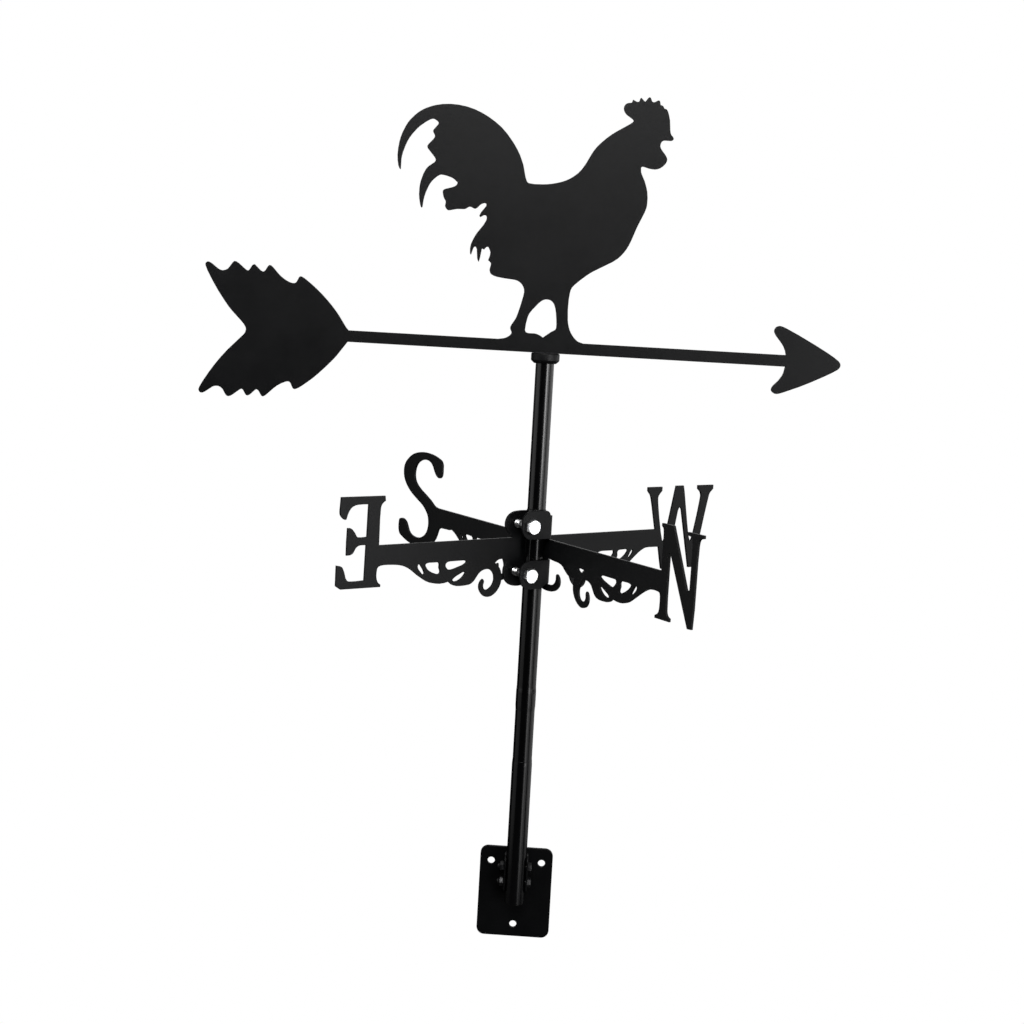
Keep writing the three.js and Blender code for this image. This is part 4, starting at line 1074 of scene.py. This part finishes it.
lo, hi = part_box("plug_pin")
length = (hi.x - lo.x) / MM
turned("cross_pin", "plug_pin",
       [(0, 0, 0), (1.2, 0, 0.1), (PIN_RADIUS, 0.4, 0.2), (PIN_RADIUS, length - 0.4, 0.2),
        (1.2, length, 0.1), (0, length, 0)],
       "root", STEEL, segments=40, frame=aimed((lo.x, AXIS.y, pin_z), (1, 0, 0)))


# ------------------------------------------------------------------ threaded fasteners
# flats: width across the hexagon; head: a bolt head's height; radius: a shank's;
# thread_from: where the thread starts, measured from the seat. All in mm.
CLAMP = dict(flats=13.0, head=5.3, radius=3.98, pitch=1.25, thread_from=15.0,
             nut_bore=4.12, segments=96, body="compass", finish=ZINC)
FOOT = dict(flats=8.0, head=3.5, radius=2.48, pitch=0.8, thread_from=18.0,
            nut_bore=2.58, segments=72, body="root", finish=FASTENER)
HEX_TURNED = 0.955                          # where the corner chamfer starts, of half the flats
THREAD_RINGS = 8                            # rings to a turn of thread


def hex_rings(bm, size, bottom, top, bore=0.0, chamfer_top=True):
    """A hexagon with its corners turned off below and, if asked, above; closed on a bore."""
    half = size["flats"] / 2
    turned_to = half * HEX_TURNED
    chamfer = 1.0 if chamfer_top else 0.0

    def drop(r):
        return max(0.0, (r - turned_to) * math.tan(math.radians(30)))

    def section(angle):
        """(radius, height) points up the side at an angle."""
        r = half / math.cos((angle + math.pi / 6) % (math.pi / 3) - math.pi / 6)
        between, inset = (turned_to + r) / 2, r - 0.06
        points = [(turned_to, bottom), (between, bottom + drop(between)),
                  (inset, bottom + drop(inset)), (r, bottom + 0.09 + drop(r)),
                  (r, top - 0.09 - chamfer * drop(r)), (inset, top - chamfer * drop(inset)),
                  (between, top - chamfer * drop(between)), (turned_to, top)]
        return [(bore, bottom)] + points + [(bore, top)] if bore else points

    rings = [add_ring(bm, size["segments"], lambda angle: section(angle)[i])
             for i in range(len(section(0.0)))]
    bridge(bm, rings + rings[:1] if bore else rings)
    return rings


def shank_rings(bm, size, length):
    """Rings of a shank with a helical thread beyond thread_from and a turned point."""
    r, pitch, start = size["radius"], size["pitch"], size["thread_from"]
    depth = 0.55 * pitch
    end = length - 1.0
    rings = []

    def ring(z, radius_at):
        rings.append(add_ring(bm, size["segments"], lambda angle: (radius_at(angle), z)))

    ring(0.3, lambda angle: r)
    ring(start - 0.5, lambda angle: r)
    count = max(2, int((end - start) / pitch * THREAD_RINGS))
    for i in range(count + 1):
        z = start + (end - start) * i / count
        fade = min(1.0, (z - start) / (1.2 * pitch))

        def thread(angle):
            phase = (z / pitch - angle / (2 * math.pi)) % 1.0
            groove = min(1.0, max(0.0, (abs(2 * phase - 1) - 0.1) / 0.8))   # 0 crest, 1 root
            return r - fade * depth * groove

        ring(z, thread)
    ring(length - 0.9, lambda angle: r - depth * 0.9)
    ring(length - 0.25, lambda angle: r - depth * 1.25)
    ring(length, lambda angle: r - depth * 1.25 - 0.35)
    return rings


def bolt(name, node, seat, direction, length, twist, size):
    """A hexagon head outward from the seat, and a shank from the seat along direction."""
    bm = bmesh.new()
    head = size["head"]
    turned_to = size["flats"] / 2 * HEX_TURNED

    def ring(r, z):
        return add_ring(bm, size["segments"], lambda angle: (r, z))

    sides = hex_rings(bm, size, -head, 0.0, chamfer_top=False)
    # the head's outer face, slightly sunk inside a rim
    face = [sides[0], ring(turned_to * 0.86, -head), ring(turned_to * 0.82, -head + 0.12),
            ring(turned_to * 0.3, -head + 0.12)]
    bridge(bm, face, flip=True)
    bm.faces.new(face[-1])
    shank = shank_rings(bm, size, length)
    fillet = ring(size["radius"] + 0.35, 0.0)
    bridge(bm, [sides[-1], fillet] + shank)
    bm.faces.new(shank[-1])
    place(bm, aimed(seat, direction, twist))
    new_piece(name, welded_mesh(bm, name, 28), size["body"], size["finish"], node)


def nut(name, node, origin, direction, height, twist, size):
    bm = bmesh.new()
    hex_rings(bm, size, 0.0, height, bore=size["nut_bore"])
    place(bm, aimed(origin, direction, twist))
    new_piece(name, welded_mesh(bm, name, 28), size["body"], size["finish"], node)


# clamp bolts: heads on the compass's N side, washers and nuts on its S side
south = -(HUB.to_3x3() @ Vector((0, -1, 0))).normalized()
for side, bolt_twist, nut_twist in (("upper", 1, 8), ("lower", 18, 40)):
    lo, hi = hub_box("compass_bolt_" + side)
    x, z = (lo.x + hi.x) / 2, (lo.z + hi.z) / 2
    seat_y = lo.y + CLAMP["head"] * MM
    bolt("clamp_bolt_" + side, "compass_bolt_" + side, HUB @ Vector((x, seat_y, z)), south,
         (hi.y - seat_y) / MM, bolt_twist, CLAMP)
    lo, hi = hub_box("compass_washer_" + side)
    thick = (hi.y - lo.y) / MM
    turned("clamp_washer_" + side, "compass_washer_" + side,
           [(4.25, 0, 0.15), (8.0, 0, 0.25), (8.0, thick, 0.45), (4.25, thick, 0.15)],
           "compass", ZINC, segments=80, frame=aimed(HUB @ Vector((x, lo.y, z)), south))
    lo, hi = hub_box("compass_nut_" + side)
    nut("clamp_nut_" + side, "compass_nut_" + side, HUB @ Vector((x, lo.y, z)), south,
        (hi.y - lo.y) / MM, nut_twist, CLAMP)

# foot bolts through the bracket: heads on the right (+X), nuts on the left
for side, z, bolt_twist, nut_twist in (("upper", foot_bolt_z[0], 12, 5),
                                       ("lower", foot_bolt_z[1], 25, 33)):
    lo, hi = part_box("bracket_bolt_" + side)
    seat_x = hi.x - FOOT["head"] * MM
    bolt("foot_bolt_" + side, "bracket_bolt_" + side, (seat_x, AXIS.y, z), (-1, 0, 0),
         (seat_x - lo.x) / MM, bolt_twist, FOOT)
    lo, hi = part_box("bracket_nut_" + side)
    nut("foot_nut_" + side, "bracket_nut_" + side, (hi.x, AXIS.y, z), (-1, 0, 0),
        (hi.x - lo.x) / MM, nut_twist, FOOT)


def soften(node):
    """Keeps a CAD body, with welded corners, whole faces and a small round on every edge."""
    o = nodes[node]
    o.data.materials.clear()
    o.data.materials.append(FASTENER[1])
    weld = o.modifiers.new("weld", "WELD")
    weld.merge_threshold = 2e-6
    dissolve = o.modifiers.new("whole_faces", "DECIMATE")
    dissolve.decimate_type = "DISSOLVE"
    dissolve.angle_limit = math.radians(0.4)
    bevel = o.modifiers.new("edge_round", "BEVEL")
    bevel.width = 0.15 * MM
    bevel.segments = 2
    bevel.limit_method = "ANGLE"
    bevel.angle_limit = math.radians(35)
    bevel.use_clamp_overlap = True


soften("joint_screw_upper")
soften("joint_screw_lower")


# ------------------------------------------------------------------ weld beads
RIPPLE = 1.7                                # mm from one ripple to the next
BEAD_SEGMENTS = 14


def bead(name, path, radius, body, up=(0, 0, 1)):
    """A run of overlapping ripples with tapered ends along a path in metres; radius in mm."""
    points = [Vector(p) for p in path]
    reached = [0.0]
    for a, b in zip(points, points[1:]):
        reached.append(reached[-1] + (b - a).length)
    total = reached[-1]
    last = len(points) - 2                  # index of the last stretch
    count = max(24, int(total / (RIPPLE * MM) * 8))
    bm = bmesh.new()
    rings = []
    for i in range(count + 1):
        s = total * i / count
        k = next((j for j in range(last + 1) if reached[j + 1] >= s - 1e-12), last)
        part = (s - reached[k]) / max(reached[k + 1] - reached[k], 1e-9)
        middle = points[k].lerp(points[k + 1], part)
        along = (points[k + 1] - points[k]).normalized()
        # turn gradually from one stretch into the next
        if k > 0 and part < 0.5:
            before = (points[k] - points[k - 1]).normalized()
            along = (along * (0.5 + part) + before * (0.5 - part)).normalized()
        elif k < last and part > 0.5:
            after = (points[k + 2] - points[k + 1]).normalized()
            along = (along * (1.5 - part) + after * (part - 0.5)).normalized()
        across = along.cross(Vector(up)).normalized()
        out = across.cross(along).normalized()
        phase = (s / (RIPPLE * MM)) % 1.0
        ripple = (0.90 + 0.16 * math.sin(math.pi * min(1.0, phase * 1.25))
                  + 0.03 * math.sin(s / MM * 1.31))
        taper = min(1.0, min(s, total - s) / (1.4 * radius * MM))
        taper = math.sqrt(max(0.0, 1 - (1 - taper) ** 2))
        r = radius * MM * ripple * max(taper, 0.12)
        ring = []
        for q in range(BEAD_SEGMENTS):
            angle = 2 * math.pi * q / BEAD_SEGMENTS
            offset = across * (r * math.cos(angle)) + out * (r * math.sin(angle))
            ring.append(bm.verts.new(
                middle + across * (r * math.cos(angle)) + out * (r * math.sin(angle))
                if offset is None else
                middle + across * (r * math.cos(angle)) + out * (r * math.sin(angle))))
        rings.append(ring)
    bridge(bm, rings)
    bm.faces.new(rings[0][::-1])
    bm.faces.new(rings[-1])
    new_piece(name, welded_mesh(bm, name, 60), body, WELD)


# along both sides of the shaft, on the socket's top face
for side, tag in ((-1, "front"), (1, "back")):
    y = AXIS.y + side * 1.55 * MM
    z = (socket_top + 0.15) * MM
    bead("socket_weld_" + tag, [((-10.4 + 20.8 * k / 12) * MM, y, z) for k in range(13)],
         0.85, "vane")
# down both outside corners of the channel, on the base plate
lo, hi = bracket_low, bracket_high
for side, tag in ((-1, "left"), (1, "right")):
    x = side * (hi.x - BRACKET_SHEET)
    y = hi.y - 0.55 * MM
    bead("bracket_weld_" + tag,
         [(x, y, lo.z + (hi.z - lo.z) * (0.05 + 0.9 * k / 16)) for k in range(17)],
         1.25, "root", up=(0, 1, 0))


# ------------------------------------------------------------------ floor
def camera_sees(tree, lit, seen, output):
    """Sends one shader to the camera and another to all other rays."""
    path = tree.nodes.new("ShaderNodeLightPath")
    mix = tree.nodes.new("ShaderNodeMixShader")
    tree.links.new(path.outputs["Is Camera Ray"], mix.inputs[0])
    tree.links.new(lit.outputs[0], mix.inputs[1])
    tree.links.new(seen.outputs[0], mix.inputs[2])
    tree.links.new(mix.outputs[0], output.inputs[0])


def floor():
    """A studio floor, pure white as the camera sees it and dim as the object sees it."""
    half_size, z = 14.0, -0.95
    material = bpy.data.materials.new("pale_floor")
    material.use_nodes = True
    tree = material.node_tree
    bsdf = tree.nodes["Principled BSDF"]
    noise = tree.nodes.new("ShaderNodeTexNoise")
    noise.inputs["Scale"].default_value = 3.0
    grey = tree.nodes.new("ShaderNodeMapRange")
    grey.inputs["To Min"].default_value = 0.05
    grey.inputs["To Max"].default_value = 0.07
    tree.links.new(noise.outputs["Fac"], grey.inputs["Value"])
    tree.links.new(grey.outputs[0], bsdf.inputs["Base Color"])
    bsdf.inputs["Roughness"].default_value = 0.9
    bsdf.inputs["Specular IOR Level"].default_value = 0.0
    white = tree.nodes.new("ShaderNodeEmission")
    white.inputs["Color"].default_value = (1, 1, 1, 1)
    white.inputs["Strength"].default_value = 1.0
    camera_sees(tree, lit=bsdf, seen=white, output=tree.nodes["Material Output"])
    mesh = bpy.data.meshes.new("floor")
    corners = [(x * half_size, y * half_size, z) for x, y in ((-1, -1), (1, -1), (1, 1), (-1, 1))]
    mesh.from_pydata(corners, [], [(0, 1, 2, 3)])
    mesh.materials.append(material)
    linked("floor", mesh)


floor()


# ------------------------------------------------------------------ lights
def softbox(name, place_at, target, width, height, radiance):
    """A rectangular softbox of the given radiance that the camera doesn't see."""
    light = bpy.data.lights.new(name, "AREA")
    light.shape = "RECTANGLE"
    light.size = width
    light.size_y = height
    light.energy = radiance * math.pi * width * height
    o = linked(name, light)
    o.location = place_at
    aim = Vector(target) - Vector(place_at)
    o.rotation_euler = aim.to_track_quat("-Z", "Y").to_euler()
    o.visible_camera = False
    return o


def polar(azimuth, distance, z):
    """A place round the origin: azimuth in degrees from the front, positive to the right."""
    angle = math.radians(azimuth)
    return distance * math.sin(angle), -distance * math.cos(angle), z


# upright softboxes facing the pole: name, azimuth, distance, bottom, top, width, radiance
UPRIGHT_SOFTBOXES = (
    ("strip_right", 38, 2.2, 0.15, 0.85, 0.62, 8.0),
    ("strip_right_mid", 38, 2.2, -0.35, 0.15, 0.62, 2.8),
    ("strip_right_low", 38, 2.2, -0.93, -0.35, 0.62, 1.3),
    ("strip_side", 57, 2.25, 0.1, 1.2, 0.75, 2.0),
    ("strip_side_low", 57, 2.25, -0.93, 0.1, 0.75, 0.6),
    ("wall_left", -76, 2.4, -0.2, 2.0, 2.3, 0.60),
    ("wall_left_low", -76, 2.4, -0.93, -0.2, 2.3, 0.22),
    ("wall_right", 112, 2.4, -0.1, 2.0, 3.0, 1.0),
    ("wall_right_low", 112, 2.4, -0.93, -0.1, 3.0, 0.55),
)
for name, azimuth, distance, bottom, top, width, radiance in UPRIGHT_SOFTBOXES:
    z = (bottom + top) / 2
    softbox(name, polar(azimuth, distance, z), (0, -0.015, z), width, top - bottom, radiance)

POLE_MIDDLE = (0, -0.015, 0.40)
softbox("front_top", (-0.1, -1.9, 1.75), (0, -0.015, 0.6), width=1.6, height=0.7, radiance=7.5)
softbox("back", (0, 3.0, 1.0), POLE_MIDDLE, width=2.2, height=1.1, radiance=1.1)
softbox("top", (0, -0.3, 2.6), POLE_MIDDLE, width=2.4, height=2.4, radiance=0.9)

# one softbox that lights only the bright zinc fasteners
zinc_key = softbox("zinc_key", polar(azimuth=73, distance=1.8, z=0.2), (0, -0.015, 0.34),
                   width=1.7, height=1.9, radiance=2.7)
zinc_pieces = bpy.data.collections.new("lit_by_zinc_key")
for o in bpy.data.objects:
    if o.type == "MESH" and o.data.materials and o.data.materials[0] == ZINC[1]:
        zinc_pieces.objects.link(o)
zinc_key.light_linking.receiver_collection = zinc_pieces


# ------------------------------------------------------------------ world
def studio_world():
    """White to the camera; to the object a dim room, darker on the camera's side."""
    world = bpy.data.worlds.new("studio")
    bpy.context.scene.world = world
    world.use_nodes = True
    tree = world.node_tree
    tree.nodes.clear()
    output = tree.nodes.new("ShaderNodeOutputWorld")
    seen = tree.nodes.new("ShaderNodeBackground")
    seen.inputs["Color"].default_value = (1, 1, 1, 1)
    seen.inputs["Strength"].default_value = 1.0
    lit = tree.nodes.new("ShaderNodeBackground")
    lit.inputs["Strength"].default_value = 0.10
    coords = tree.nodes.new("ShaderNodeTexCoord")
    split = tree.nodes.new("ShaderNodeSeparateXYZ")
    tree.links.new(coords.outputs["Generated"], split.inputs[0])
    front = tree.nodes.new("ShaderNodeMapRange")
    front.interpolation_type = "SMOOTHSTEP"
    front.inputs["From Min"].default_value = -1.0
    front.inputs["From Max"].default_value = -0.55
    front.inputs["To Min"].default_value = 0.05
    front.inputs["To Max"].default_value = 1.0
    tree.links.new(split.outputs["Y"], front.inputs["Value"])
    tree.links.new(front.outputs[0], lit.inputs["Color"])
    camera_sees(tree, lit, seen, output)


studio_world()
bpy.context.scene.view_settings.view_transform = "Standard"
bpy.context.scene.view_settings.look = "None"


# ------------------------------------------------------------------ camera
CAMERA_PLACE = (0.0, -1.250, 0.5488)
CAMERA_YAW = math.radians(-1.401)           # from +Y, positive to the right
CAMERA_PITCH = math.radians(2.419)          # positive looks down
CAMERA_ROLL = math.radians(3.231)


def camera():
    ahead = Vector((math.sin(CAMERA_YAW), math.cos(CAMERA_YAW), 0))
    level_right = Vector((math.cos(CAMERA_YAW), -math.sin(CAMERA_YAW), 0))
    vertical = Vector((0, 0, 1))
    view = ahead * math.cos(CAMERA_PITCH) - vertical * math.sin(CAMERA_PITCH)
    tipped_up = vertical * math.cos(CAMERA_PITCH) + ahead * math.sin(CAMERA_PITCH)
    right = level_right * math.cos(CAMERA_ROLL) + tipped_up * math.sin(CAMERA_ROLL)
    up = tipped_up * math.cos(CAMERA_ROLL) - level_right * math.sin(CAMERA_ROLL)
    data = bpy.data.cameras.new("camera")
    data.sensor_width = 36.0
    data.sensor_fit = "HORIZONTAL"
    data.lens = 45.96328125
    data.shift_y = -0.12890625
    data.clip_start = 0.05
    o = linked("camera", data)
    rows = [(right[i], up[i], -view[i], CAMERA_PLACE[i]) for i in range(3)]
    o.matrix_world = Matrix(rows + [(0, 0, 0, 1)])
    bpy.context.scene.camera = o


camera()
